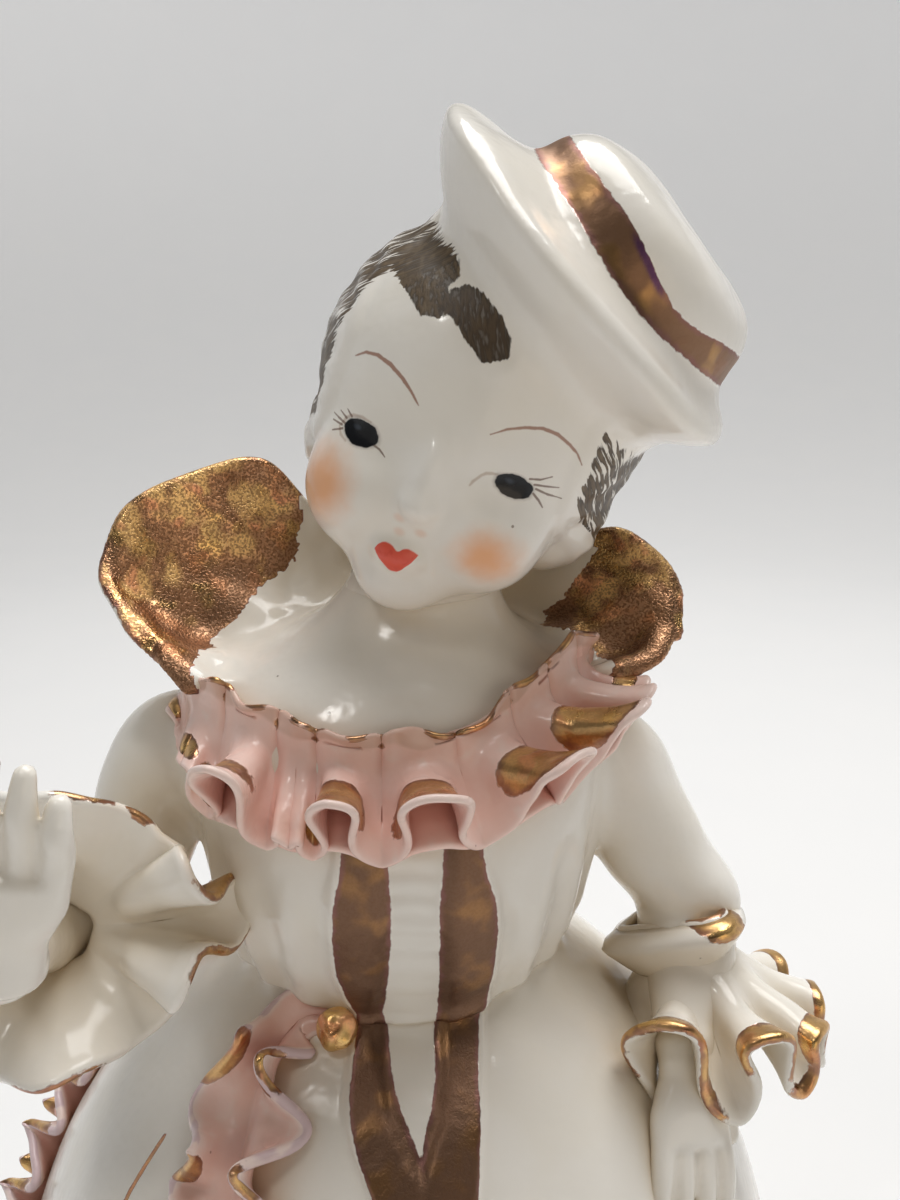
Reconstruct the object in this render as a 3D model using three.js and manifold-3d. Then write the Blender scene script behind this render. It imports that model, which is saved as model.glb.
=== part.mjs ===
// A porcelain lady figurine, fired in one piece: a wide-skirted dress on a low base, a pointed
// bodice with a gold-edged front, a standing fan collar, pink fluted ruffles, frilled cuffs,
// one hand raised and one on the skirt, and a boater tipped over the side of the head.
// Millimetres, +Z up. The figure faces -Y, and the origin is the centre of the flat underside.

import * as THREE from "three";
import { mergeVertices } from "three/addons/utils/BufferGeometryUtils.js";
import Module from "manifold-3d";

const { degToRad, lerp, smoothstep, clamp } = THREE.MathUtils;
const { sin, cos, abs, PI, hypot } = Math;
const at = (x, y, z) => new THREE.Vector3(x, y, z);

// Driving dimensions
const WAIST_HEIGHT = 96;
const BASE_RADIUS = 49;
const BASE_DEPTH_RATIO = 0.94;
const BASE_HEIGHT = 5.5;
const CLAY_THICKNESS = 1.3;
const HEAD_CENTRE = at(8.1, 0.8, 153.2);
const HEAD_TURN = degToRad(-18);
const HEAD_TILT = degToRad(19.5);
const HEAD_NOD = degToRad(2);
const HAT_CENTRE = at(18.8, 0, 164.9);
const HAT_AXIS = at(0.7, -0.32, 0.64).normalize();

// Sections of the dress and the neck from the hem up. width and depth are half sizes.
const SECTIONS = [
  { z: 3, width: 46.5, depth: 43.5, x: 0, y: 0 },
  { z: 20, width: 47.0, depth: 44.0, x: 0, y: 0 },
  { z: 40, width: 46.0, depth: 43.0, x: 0, y: 0 },
  { z: 58, width: 43.0, depth: 40.0, x: 0, y: 0 },
  { z: 72, width: 38.2, depth: 35.0, x: 0, y: 0 },
  { z: 82, width: 32.0, depth: 29.5, x: 0, y: 0 },
  { z: 90, width: 24.5, depth: 23.0, x: 0, y: 0 },
  { z: 96, width: 17.6, depth: 15.0, x: 0, y: 0 },
  { z: 102, width: 18.6, depth: 15.8, x: 0, y: -0.5 },
  { z: 109, width: 20.3, depth: 17.6, x: 0, y: -1.0 },
  { z: 116, width: 21.0, depth: 17.6, x: 0, y: -1.2 },
  { z: 122, width: 20.8, depth: 15.6, x: 0, y: -1.2 },
  { z: 126, width: 18.6, depth: 13.6, x: 0.2, y: -1.0 },
  { z: 129.5, width: 13.6, depth: 11.0, x: 0.8, y: -0.6 },
  { z: 132.5, width: 9.8, depth: 8.6, x: 1.6, y: -0.3 },
  { z: 136, width: 7.6, depth: 7.2, x: 2.6, y: 0 },
  { z: 142, width: 7.0, depth: 6.8, x: 4.0, y: 0.8 },
  { z: 149, width: 6.8, depth: 6.8, x: 6.0, y: 1.4 },
];
const DRESS_SIDES = 36;
const DRESS_LEVELS = [
  3, 24, 44, 58, 70, 79, 86, 91.5, 96.8, 97.6, 102, 108, 114, 119.5, 124, 127.2, 129.8, 132.5, 137,
  145,
];

// Wide soft folds in the skirt, and tucks drawn in to the waist of the bodice.
const SKIRT_FOLDS = { depth: 1.9, coarse: 7, fine: 12 };
const BODICE_TUCKS = { depth: 0.45, count: 20 };

// The value of one column of SECTIONS at a height, smooth from row to row.
function column(name, z) {
  const last = SECTIONS.length - 1;
  const row = (i) => SECTIONS[clamp(i, 0, last)];
  let i = 0;
  while (i < last - 1 && z > SECTIONS[i + 1].z) i += 1;
  const [before, low, high, after] = [row(i - 1), row(i), row(i + 1), row(i + 2)];
  const span = high.z - low.z;
  const t = clamp((z - low.z) / span, 0, 1);
  const slope = (a, b) => (b.z > a.z ? (b[name] - a[name]) / (b.z - a.z) : 0);
  const m0 = slope(before, high) * span;
  const m1 = slope(low, after) * span;
  const [t2, t3] = [t * t, t * t * t];
  return (2 * t3 - 3 * t2 + 1) * low[name] + (t3 - 2 * t2 + t) * m0
    + (3 * t2 - 2 * t3) * high[name] + (t3 - t2) * m1;
}

// The bodice stands proud of the skirt and dips a little in front.
const BASQUE = { edge: 97.2, proud: 0.9, dip: 1.6, spread: 0.6 };

// A point of the dress. turn is the angle from the front, towards the figure's left hand.
function dressPoint(turn, z, proud = 0) {
  const fall = clamp(1 - z / WAIST_HEIGHT, 0, 1);
  const folds = SKIRT_FOLDS.depth * fall ** 1.2
    * (0.6 * cos(SKIRT_FOLDS.fine * turn + 0.8) + 0.5 * cos(SKIRT_FOLDS.coarse * turn - 0.9));
  const atWaist = smoothstep(z, 94, 99) * (1 - smoothstep(z, 104, 116));
  const tucks = BODICE_TUCKS.depth * atWaist * cos(BODICE_TUCKS.count * turn)
    * smoothstep(abs(turn), 0.35, 0.6);
  const step = BASQUE.proud * smoothstep(z, BASQUE.edge - 0.4, BASQUE.edge + 0.4) * (1 - smoothstep(z, 100, 112));
  const out = folds + tucks + step + proud;
  const round = Math.atan2(sin(turn), cos(turn));
  const nearEdge = smoothstep(z, 84, 92) * (1 - smoothstep(z, 98, 110));
  const dip = BASQUE.dip * Math.exp(-((round / BASQUE.spread) ** 2)) * nearEdge;
  const girth = z - 0.7 * dip;
  return at(
    column("x", z) + (column("width", girth) + out) * sin(turn),
    column("y", z) - (column("depth", girth) + out) * cos(turn),
    z - dip,
  );
}

// The outward normal of the dress at that point.
function dressNormal(turn, z) {
  const step = 0.02;
  const rise = 1;
  const along = dressPoint(turn + step, z).sub(dressPoint(turn - step, z));
  const up = dressPoint(turn, z + rise).sub(dressPoint(turn, z - rise));
  return along.cross(up).normalize();
}

// Closed geometry from faces that index a list of points.
function geometryOf(points, faces) {
  const geometry = new THREE.BufferGeometry();
  geometry.setAttribute("position", new THREE.Float32BufferAttribute(points.flatMap((p) => [p.x, p.y, p.z]), 3));
  geometry.setIndex(faces.flat());
  return geometry;
}

// A closed body through rings of points, each ring anticlockwise seen from its far end.
function loft(rings) {
  const sides = rings[0].length;
  const points = rings.flat();
  const faces = [];
  for (let i = 0; i < rings.length - 1; i += 1) {
    for (let j = 0; j < sides; j += 1) {
      const [a, b] = [i * sides + j, i * sides + ((j + 1) % sides)];
      faces.push([a, b, b + sides], [a, b + sides, a + sides]);
    }
  }
  const middle = (ring) => ring.reduce((sum, p) => sum.add(p), at(0, 0, 0)).divideScalar(sides);
  const first = points.push(middle(rings[0])) - 1;
  const last = points.push(middle(rings[rings.length - 1])) - 1;
  const top = (rings.length - 1) * sides;
  for (let j = 0; j < sides; j += 1) {
    const next = (j + 1) % sides;
    faces.push([first, next, j], [last, top + j, top + next]);
  }
  return geometryOf(points, faces);
}

// A tapered limb along a smooth path of { at, radius, flat } stations. flat squashes it along facing.
function limb(stations, sides, steps, facing = at(0, -1, 0)) {
  const path = new THREE.CatmullRomCurve3(stations.map((s) => s.at));
  const rings = [];
  for (let i = 0; i <= steps; i += 1) {
    const t = i / steps;
    const place = t * (stations.length - 1);
    const [low, high] = [Math.floor(place), Math.min(Math.floor(place) + 1, stations.length - 1)];
    const share = place - low;
    const radius = lerp(stations[low].radius, stations[high].radius, share);
    const flat = lerp(stations[low].flat ?? 1, stations[high].flat ?? 1, share);
    const along = path.getTangent(t);
    const wide = along.clone().cross(facing).normalize();
    const thick = wide.clone().cross(along).normalize();
    const centre = path.getPoint(t);
    const round = i === 0 || i === steps ? 0.55 : 1;
    rings.push(Array.from({ length: sides }, (_, j) => {
      const a = (2 * PI * j) / sides;
      return centre.clone()
        .addScaledVector(wide, radius * round * cos(a))
        .addScaledVector(thick, -radius * round * flat * sin(a));
    }));
  }
  return loft(rings);
}

// A sheet of clay of even thickness over a grid of points, rows[i][j]. closed joins the last row to the first.
function sheet(rows, thickness, closed = false) {
  const [n, m] = [rows.length, rows[0].length];
  const wrap = (i) => (closed ? (i + n) % n : clamp(i, 0, n - 1));
  const hold = (j) => clamp(j, 0, m - 1);
  const side = (sign) => rows.map((row, i) => row.map((p, j) => {
    const along = rows[wrap(i + 1)][j].clone().sub(rows[wrap(i - 1)][j]);
    const across = rows[i][hold(j + 1)].clone().sub(rows[i][hold(j - 1)]);
    return p.clone().addScaledVector(along.cross(across).normalize(), (sign * thickness) / 2);
  }));
  const points = [...side(1).flat(), ...side(-1).flat()];
  const over = (i, j) => wrap(i) * m + j;
  const under = (i, j) => n * m + wrap(i) * m + j;
  const quad = (a, b, c, d) => [[a, b, c], [a, c, d]];
  const faces = [];
  for (let i = 0; i < (closed ? n : n - 1); i += 1) {
    for (let j = 0; j < m - 1; j += 1) {
      faces.push(...quad(over(i, j), over(i + 1, j), over(i + 1, j + 1), over(i, j + 1)));
      faces.push(...quad(under(i, j), under(i, j + 1), under(i + 1, j + 1), under(i + 1, j)));
    }
    faces.push(...quad(over(i + 1, 0), over(i, 0), under(i, 0), under(i + 1, 0)));
    faces.push(...quad(over(i, m - 1), over(i + 1, m - 1), under(i + 1, m - 1), under(i, m - 1)));
  }
  for (let j = 0; !closed && j < m - 1; j += 1) {
    faces.push(...quad(over(0, j), over(0, j + 1), under(0, j + 1), under(0, j)));
    faces.push(...quad(over(n - 1, j + 1), over(n - 1, j), under(n - 1, j), under(n - 1, j + 1)));
  }
  return geometryOf(points, faces);
}

// Rounded arches between pointed valleys, from -1 in a valley to 1 on an arch, once each turn of 1.
const flute = (turns) => 2 * abs(cos(PI * turns)) ** 0.75 - 1;

// The dress, the shoulders and the neck as one lofted body.
function dress() {
  return loft(DRESS_LEVELS.map((z) => Array.from(
    { length: DRESS_SIDES },
    (_, j) => dressPoint((2 * PI * j) / DRESS_SIDES, z),
  )));
}

// A low oval base with a rounded shoulder.
function base() {
  const profile = [
    [0, 0], [BASE_RADIUS - 1, 0], [BASE_RADIUS, 1], [BASE_RADIUS, BASE_HEIGHT - 1.6],
    [BASE_RADIUS - 1.4, BASE_HEIGHT], [0, BASE_HEIGHT],
  ];
  return latheUp(profile, DRESS_SIDES).scale(1, BASE_DEPTH_RATIO, 1);
}

// A LatheGeometry of [radius, height] points, turned so that it stands along +Z.
function latheUp(profile, sides) {
  return new THREE.LatheGeometry(profile.map(([r, h]) => new THREE.Vector2(r, h)), sides).rotateX(PI / 2);
}

// The head is a blend of rounded masses in its own frame: x to the figure's left, -y out of the
// face, z up, with the middle of the skull at the origin.
const SKULL = { centre: [0, 0.6, 0.4], radii: [15.4, 15.4, 15.6] };
const FACE_MASSES = [
  { centre: [0, -4.6, -7.2], radii: [12.0, 11.6, 10.6], soft: 4 },
  { centre: [-6.6, -9.6, -9.4], radii: [5.4, 5.2, 5.2], soft: 3 },
  { centre: [6.6, -9.6, -9.4], radii: [5.4, 5.2, 5.2], soft: 3 },
  { centre: [0, -11.6, -15.0], radii: [4.0, 3.8, 3.0], soft: 3 },
  { centre: [0, -15.6, -5.6], radii: [1.3, 1.7, 3.4], soft: 1.6 },
  { centre: [0, -16.4, -7.6], radii: [1.6, 1.5, 1.2], soft: 1.0 },
  { centre: [0, -14.9, -12.2], radii: [2.4, 1.5, 1.5], soft: 1.2 },
];
const HAIR_MASSES = [
  { centre: [-12.9, -1.6, -5.0], radii: [2.6, 3.4, 4.6], soft: 2 },
  { centre: [12.9, -1.6, -5.0], radii: [2.6, 3.4, 4.6], soft: 2 },
  { centre: [0, 13.4, -5.6], radii: [8.4, 6.4, 7.4], soft: 2 },
  { centre: [0, 5.0, 1.4], radii: [16.2, 13.2, 15.8], soft: 1.5 },
];
const EYE_HOLLOWS = [
  { centre: [-6.4, -17.6, -3.8], radii: [3.6, 2.9, 2.4], soft: 2 },
  { centre: [6.4, -17.6, -3.8], radii: [3.6, 2.9, 2.4], soft: 2 },
];
const HEAD_SAMPLES = { round: 26, up: 20 };
const FACE_SHARE = 0.42;

function ellipsoidDistance(p, { centre, radii }) {
  const [x, y, z] = [p.x - centre[0], p.y - centre[1], p.z - centre[2]];
  const [a, b, c] = radii;
  const k0 = hypot(x / a, y / b, z / c);
  const k1 = hypot(x / a ** 2, y / b ** 2, z / c ** 2);
  return k1 > 0 ? (k0 * (k0 - 1)) / k1 : -Math.min(a, b, c);
}

function softMin(a, b, soft) {
  const h = Math.max(soft - abs(a - b), 0) / soft;
  return Math.min(a, b) - (h * h * soft) / 4;
}

function headDistance(p) {
  let d = ellipsoidDistance(p, SKULL);
  for (const mass of [...FACE_MASSES, ...HAIR_MASSES]) d = softMin(d, ellipsoidDistance(p, mass), mass.soft);
  for (const hollow of EYE_HOLLOWS) d = -softMin(-d, ellipsoidDistance(p, hollow), hollow.soft);
  return d;
}

function headToFigure(geometry) {
  return geometry.rotateX(HEAD_NOD).rotateY(HEAD_TILT).rotateZ(HEAD_TURN)
    .translate(HEAD_CENTRE.x, HEAD_CENTRE.y, HEAD_CENTRE.z);
}

// A sphere whose points are moved along their rays on to the surface of the blended masses. The
// points are drawn together towards the face, by FACE_SHARE.
function head() {
  const farthest = 24;
  const geometry = new THREE.SphereGeometry(1, HEAD_SAMPLES.round, HEAD_SAMPLES.up).rotateX(PI / 2);
  const places = geometry.getAttribute("position");
  for (let i = 0; i < places.count; i += 1) {
    const even = new THREE.Vector3().fromBufferAttribute(places, i);
    const azimuth = Math.atan2(even.x, -even.y);
    const spare = FACE_SHARE * sin(azimuth);
    const ray = even.applyAxisAngle(at(0, 0, 1), -spare).normalize();
    let [inside, outside] = [0, farthest];
    for (let step = 0; step < 30; step += 1) {
      const middle = (inside + outside) / 2;
      if (headDistance(ray.clone().multiplyScalar(middle)) < 0) inside = middle;
      else outside = middle;
    }
    places.setXYZ(i, ...ray.multiplyScalar(inside).toArray());
  }
  return headToFigure(geometry);
}

// The boater: a thick brim that flares out of the underside and slopes up to a domed crown, which
// sits a little low on the brim. rim rows are [radius, height] along the tipped axis of the hat.
const HAT_PROFILE = [
  [11.5, -7.6], [14.4, -5.6], [17.0, -3.6], [19.2, -1.4], [20.0, 0.1], [19.2, 1.1], [16.6, 2.0],
  [14.2, 3.2], [13.6, 4.2], [12.8, 6.6], [11.2, 8.4], [7.6, 9.6], [3, 10.1],
];
const CROWN_SHIFT = 1.9;
const HAT_SIDES = 26;
function hat() {
  const low = at(0, 0, -1).addScaledVector(HAT_AXIS, HAT_AXIS.z).normalize();
  const side = HAT_AXIS.clone().cross(low).normalize();
  return loft(HAT_PROFILE.map(([radius, height]) => Array.from({ length: HAT_SIDES }, (_, j) => {
    const turn = (2 * PI * j) / HAT_SIDES;
    return HAT_CENTRE.clone().addScaledVector(HAT_AXIS, height)
      .addScaledVector(low, radius * cos(turn) + CROWN_SHIFT * smoothstep(height, 0.5, 4))
      .addScaledVector(side, radius * sin(turn));
  })));
}

// The collar: two wings that stand on the shoulders, joined low behind the neck. It leaves the side
// of the neck almost level, as the top of the shoulders, and curves up and out to its rim.
const COLLAR_END = degToRad(118);
const COLLAR_RIM = new THREE.CatmullRomCurve3([
  at(-20.6, -5.6, 126.4), at(-26.4, -0.4, 132.6), at(-29.0, 4.8, 138.6), at(-27.2, 7.2, 142.8),
  at(-20.6, 9.8, 145.8), at(-13.2, 11.4, 146.8), at(-7.6, 12.6, 141.0), at(1, 13.0, 136.5),
  at(10, 12.0, 135.2), at(17.5, 9.0, 136.6), at(24.4, 4.8, 139.6), at(28.2, 1.2, 136.8),
  at(29.2, -2.2, 131.6), at(26.4, -5.4, 127.8), at(21.0, -7.2, 126.0),
]);
function collarPoint(share, up) {
  const turn = lerp(-COLLAR_END, COLLAR_END, share);
  const spread = abs(turn) / COLLAR_END;
  const foot = at(1 + 9.5 * sin(turn), 0.5 + 7.5 * cos(turn), 131 - 2 * spread);
  const rim = COLLAR_RIM.getPoint(share);
  const outward = sin((up * PI) / 2) ** 1.1;
  const upward = 1 - cos((up ** 1.05 * PI) / 2);
  const sag = -2.6 * sin(PI * Math.min(up * 1.4, 1)) * (0.4 + 0.6 * spread);
  return at(lerp(foot.x, rim.x, outward), lerp(foot.y, rim.y, outward), lerp(foot.z, rim.z, upward) + sag);
}
function collar() {
  const [around, high] = [28, 4];
  return sheet(Array.from({ length: around + 1 }, (_, i) => Array.from(
    { length: high + 1 },
    (_, j) => collarPoint(i / around, j / high),
  )), 2.0);
}

// The pink ruffle round the neckline, a strip between its heading and its fluted hem.
const NECK_HEADING = new THREE.CatmullRomCurve3([
  at(-23.0, 2.5, 126.6), at(-21.0, -3.5, 127.4), at(-16.4, -9.0, 126.6), at(-9.5, -14.4, 125.2),
  at(-0.6, -17.0, 124.8), at(5.6, -15.8, 125.8), at(11.0, -12.4, 128.0), at(16.2, -8.2, 130.2),
  at(20.5, -2.5, 129.0),
]);
const NECK_HEM = new THREE.CatmullRomCurve3([
  at(-27.5, 1.5, 119.0), at(-25.0, -7.5, 118.0), at(-19.0, -15.0, 116.8), at(-10.5, -20.2, 116.2),
  at(-1.0, -22.8, 116.4), at(9.0, -20.8, 118.0), at(17.5, -16.5, 120.6), at(23.5, -11.5, 123.0),
  at(27.0, -3.0, 122.5),
]);
const NECK_RUFFLE = { arches: 7, depth: 2.2, phase: 0.18 };
function neckRufflePoint(share, across) {
  const heading = NECK_HEADING.getPoint(share);
  const hem = NECK_HEM.getPoint(share);
  const wave = flute(share * NECK_RUFFLE.arches + NECK_RUFFLE.phase) * NECK_RUFFLE.depth * across ** 1.3;
  const out = at(hem.x - heading.x, hem.y - heading.y, 0).normalize();
  const belly = -1.2 * sin(PI * across);
  return heading.lerp(hem, across).addScaledVector(out, wave * 0.8 + belly).add(at(0, 0, wave * 0.8));
}
function neckRuffle() {
  const [along, down] = [NECK_RUFFLE.arches * 6, 2];
  return sheet(Array.from({ length: along + 1 }, (_, i) => Array.from(
    { length: down + 1 },
    (_, j) => neckRufflePoint(i / along, j / down),
  )), CLAY_THICKNESS);
}

// The pink ruffle that borders a swag on the figure's right hip: down the front from the waist,
// round below the hip and up again at the back. It is gathered on its middle line.
const SWAG = { waves: 11, half: 5.2, lift: 3.0 };
const SWAG_LINE = new THREE.CatmullRomCurve3([
  at(-0.46, 96.4, 0), at(-0.6, 90, 0), at(-0.64, 82, 0), at(-0.72, 69, 0), at(-0.9, 54, 0),
  at(-1.26, 43, 0), at(-1.6, 53, 0), at(-1.8, 68, 0), at(-1.92, 80, 0), at(-2.06, 90, 0), at(-2.2, 96.4, 0),
]);
function swagPoint(share, across) {
  const line = SWAG_LINE.getPointAt(share);
  const ahead = SWAG_LINE.getPointAt(Math.min(share + 0.01, 1));
  const behind = SWAG_LINE.getPointAt(Math.max(share - 0.01, 0));
  const middle = dressPoint(line.x, line.y, 0.2);
  const normal = dressNormal(line.x, line.y);
  const along = dressPoint(ahead.x, ahead.y).sub(dressPoint(behind.x, behind.y)).normalize();
  const side = along.clone().cross(normal).normalize();
  const ends = smoothstep(share, 0, 0.03) * (1 - smoothstep(share, 0.97, 1));
  const wave = flute(share * SWAG.waves + (across > 0 ? 0 : 0.5));
  const rise = abs(across) ** 1.2 * SWAG.lift * (1.0 + 0.9 * wave) * ends;
  return middle
    .addScaledVector(side, across * SWAG.half * (0.75 + 0.25 * ends))
    .addScaledVector(normal, rise);
}
function swagRuffle() {
  const [along, half] = [SWAG.waves * 4, 2];
  return sheet(Array.from({ length: along + 1 }, (_, i) => Array.from(
    { length: 2 * half + 1 },
    (_, j) => swagPoint(i / along, (j - half) / half),
  )), CLAY_THICKNESS);
}

// Two raised bands that run down from the ruffle, meet in a fork and end in a point on the skirt.
const BANDS = { top: 119, fork: 88.6, tip: 67, centre: -0.7, gap: 2.7, outer: 7.7, waist: 5.9, proud: 0.9 };
function bandEdges(z) {
  const above = clamp((z - BANDS.fork) / (98 - BANDS.fork), 0, 1);
  const below = clamp((BANDS.fork - z) / (BANDS.fork - BANDS.tip), 0, 1);
  const inner = BANDS.gap * above ** 0.8;
  const outer = lerp(BANDS.waist, BANDS.outer, smoothstep(z, 96, 112)) * (1 - below ** 1.3) + 0.3;
  return [inner, outer];
}
function bands() {
  const levels = 10;
  const sheets = [-1, 1].map((hand) => sheet(Array.from({ length: levels + 1 }, (_, i) => {
    const z = lerp(BANDS.tip, BANDS.top, i / levels);
    const [inner, outer] = bandEdges(z);
    return [0, 0.5, 1].map((share) => {
      const x = BANDS.centre + hand * lerp(inner - 0.15, outer, hand > 0 ? share : 1 - share);
      return dressPoint(Math.asin(x / column("width", z)), z, BANDS.proud - 0.5);
    });
  }), 1.0));
  return sheets;
}

// Sleeves and forearms
const RIGHT_ARM = [
  { at: at(-14, 1, 117.5), radius: 5.5 }, { at: at(-22.5, 2.8, 117.2), radius: 6.6 },
  { at: at(-26.8, 3.2, 110), radius: 5.8 }, { at: at(-28.6, 0.6, 104), radius: 5.6 },
  { at: at(-30.2, -7.5, 104), radius: 5.0 }, { at: at(-30.8, -17, 108.4), radius: 3.8 },
  { at: at(-30.8, -27, 113.6), radius: 3.1 }, { at: at(-30.6, -31, 116.4), radius: 3.0 },
];
const LEFT_ARM = [
  { at: at(14, 0.5, 117), radius: 5.5 }, { at: at(21.6, -0.6, 115.4), radius: 6.0 },
  { at: at(26.6, -2.2, 107.5), radius: 5.7 }, { at: at(31.2, -4.2, 98), radius: 5.7 },
  { at: at(31.2, -8.5, 91), radius: 4.6 }, { at: at(29.4, -14.0, 85), radius: 3.4 },
  { at: at(28.6, -17.4, 80.5), radius: 3.1 },
];

// A frill round a sleeve, gathered on a ring with a short heading above and a wide fluted skirt below.
const CUFFS = [
  {
    centre: at(-30.4, -9.0, 105.6), axis: at(-0.06, -0.93, 0.36), ring: 5.6, reach: 11.5,
    flare: 7.2, heading: 2.4, waves: 6, depth: 2.8, phase: 0.25,
  },
  {
    centre: at(30.8, -5.4, 93.0), axis: at(0.22, -0.36, -0.9), ring: 6.4, reach: 12.6,
    flare: 6.2, heading: 4.0, waves: 6, depth: 2.8, phase: 0.3,
  },
];
function cuff(spec) {
  const axis = spec.axis.clone().normalize();
  const side = axis.clone().cross(at(0, 0, 1)).normalize();
  const up = side.clone().cross(axis).normalize();
  const shares = [-1, 0, 0.4, 0.75, 1];
  const around = spec.waves * 5;
  const rows = Array.from({ length: around }, (_, i) => {
    const turn = (2 * PI * i) / around;
    const wave = flute((spec.waves * i) / around + spec.phase);
    const out = side.clone().multiplyScalar(cos(turn)).addScaledVector(up, sin(turn));
    return shares.map((share) => {
      const below = Math.max(share, 0);
      const above = Math.max(-share, 0);
      const radius = spec.ring + spec.flare * below ** 1.1 + 3.4 * above ** 1.2
        + wave * spec.depth * (below ** 1.2 + 0.6 * above);
      const along = spec.reach * below - spec.heading * above - wave * spec.depth * 0.5 * below;
      return spec.centre.clone().addScaledVector(out, radius).addScaledVector(axis, along);
    });
  });
  return sheet(rows, CLAY_THICKNESS, true);
}

// A hand: a flat palm from the wrist, four fingers and a thumb. reach points along the fingers.
const HANDS = [
  { wrist: at(-30.6, -31, 117.4), reach: at(0.02, -0.2, 0.98), back: at(0.2, 0.95, 0.2), thumb: 1, bend: -0.1 },
  { wrist: at(28.6, -17.4, 81.0), reach: at(-0.08, -0.36, -0.93), back: at(0.3, -0.87, 0.33), thumb: -1, bend: 0.06 },
];
const FINGERS = [
  { across: -2.9, length: 6.8 }, { across: -1.0, length: 8.6 }, { across: 1.0, length: 9.0 }, { across: 2.9, length: 7.6 },
];
function hand({ wrist, reach, back, thumb, bend }) {
  const along = reach.clone().normalize();
  const across = along.clone().cross(back).normalize().multiplyScalar(thumb);
  const out = back.clone().addScaledVector(along, -back.dot(along)).normalize();
  const spot = (a, s, o = 0) => wrist.clone()
    .addScaledVector(along, a).addScaledVector(across, s).addScaledVector(out, o);
  const palm = limb([
    { at: spot(-2.5, 0), radius: 2.7, flat: 0.9 }, { at: spot(1.5, 0), radius: 3.0, flat: 0.7 },
    { at: spot(5, 0), radius: 4.1, flat: 0.45 }, { at: spot(8, 0), radius: 4.2, flat: 0.38 },
  ], 8, 4, out);
  const fingers = FINGERS.map((f) => limb([
    { at: spot(6.8, f.across * 0.92), radius: 1.25 },
    { at: spot(7.6 + f.length * 0.5, f.across * 1.12, -0.2), radius: 1.15 },
    { at: spot(7.6 + f.length, f.across * 1.22, -bend * f.length), radius: 0.85 },
  ], 5, 2, out));
  const thumbLimb = limb([
    { at: spot(1.4, 1.6), radius: 1.5 }, { at: spot(4.6, 4.6, -0.6), radius: 1.4 },
    { at: spot(8.2, 5.8, -1.2), radius: 0.95 },
  ], 5, 3, out);
  return [palm, ...fingers, thumbLimb];
}

// The gilt bead on the end of the swag at the waist.
function bead() {
  const place = dressPoint(-0.42, 95.6, 1.4);
  return new THREE.SphereGeometry(1.9, 8, 6).translate(place.x, place.y, place.z);
}

// All the clay forms are joined into one solid, as they are stuck together before firing.
const wasm = await Module();
wasm.setup();

function solidOf(geometry) {
  const plain = geometry.index ? geometry.toNonIndexed() : geometry.clone();
  plain.deleteAttribute("normal");
  plain.deleteAttribute("uv");
  const merged = mergeVertices(plain, 1e-3);
  const index = Array.from(merged.index.array);
  const kept = [];
  for (let i = 0; i < index.length; i += 3) {
    const [a, b, c] = index.slice(i, i + 3);
    if (a !== b && b !== c && a !== c) kept.push(a, b, c);
  }
  return new wasm.Manifold(new wasm.Mesh({
    numProp: 3,
    vertProperties: merged.getAttribute("position").array,
    triVerts: new Uint32Array(kept),
  }));
}

function geometryFromSolid(solid) {
  const { vertProperties, triVerts } = solid.getMesh();
  return new THREE.BufferGeometry()
    .setAttribute("position", new THREE.BufferAttribute(vertProperties, 3))
    .setIndex(new THREE.BufferAttribute(triVerts, 1));
}

const forms = [
  dress(), base(), head(), hat(), collar(), neckRuffle(), swagRuffle(), ...bands(),
  limb(RIGHT_ARM, 10, 14, at(1, 0, 0.01)), limb(LEFT_ARM, 10, 12, at(1, 0, 0.01)), ...CUFFS.map(cuff),
  ...HANDS.flatMap(hand), bead(),
];
const union = forms.map(solidOf).reduce((sum, solid) => sum.add(solid)).simplify(0.05);

// The small sealed voids left between the forms are filled: only the outer skin is kept.
const joined = union.decompose().reduce((a, b) => (a.volume() > b.volume() ? a : b));

const porcelain = new THREE.MeshStandardMaterial({ color: 0xe9e2d2, roughness: 0.12, metalness: 0 });
const figurine = new THREE.Mesh(geometryFromSolid(joined), porcelain);
figurine.name = "porcelain_lady_figurine";

const group = new THREE.Group();
group.add(figurine);
export default group;
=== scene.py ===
"""The porcelain lady figurine: high resolution clay forms, glaze, painted details and gold lustre.

All forms are worked out in millimetres in the frame of the CAD part and stored in metres.
The figure faces -Y, and +X is its left hand side.
"""

import functools
import math

import bpy
import numpy as np
import openvdb
from mathutils import Matrix, Vector
from mathutils.kdtree import KDTree


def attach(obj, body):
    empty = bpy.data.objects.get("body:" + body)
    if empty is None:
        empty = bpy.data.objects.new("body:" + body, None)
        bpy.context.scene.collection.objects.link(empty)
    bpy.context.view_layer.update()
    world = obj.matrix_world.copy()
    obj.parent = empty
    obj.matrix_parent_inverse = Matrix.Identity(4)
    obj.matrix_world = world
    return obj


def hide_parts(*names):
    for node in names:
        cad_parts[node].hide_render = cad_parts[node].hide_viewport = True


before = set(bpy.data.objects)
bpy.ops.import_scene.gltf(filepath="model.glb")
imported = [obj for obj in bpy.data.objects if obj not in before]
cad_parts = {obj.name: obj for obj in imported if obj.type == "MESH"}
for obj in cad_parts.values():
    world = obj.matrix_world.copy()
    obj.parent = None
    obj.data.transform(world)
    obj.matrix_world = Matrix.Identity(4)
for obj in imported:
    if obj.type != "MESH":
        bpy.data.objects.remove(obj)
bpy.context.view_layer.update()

MM = 0.001
NODE = "porcelain_lady_figurine"
TAU = 2 * math.pi


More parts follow.
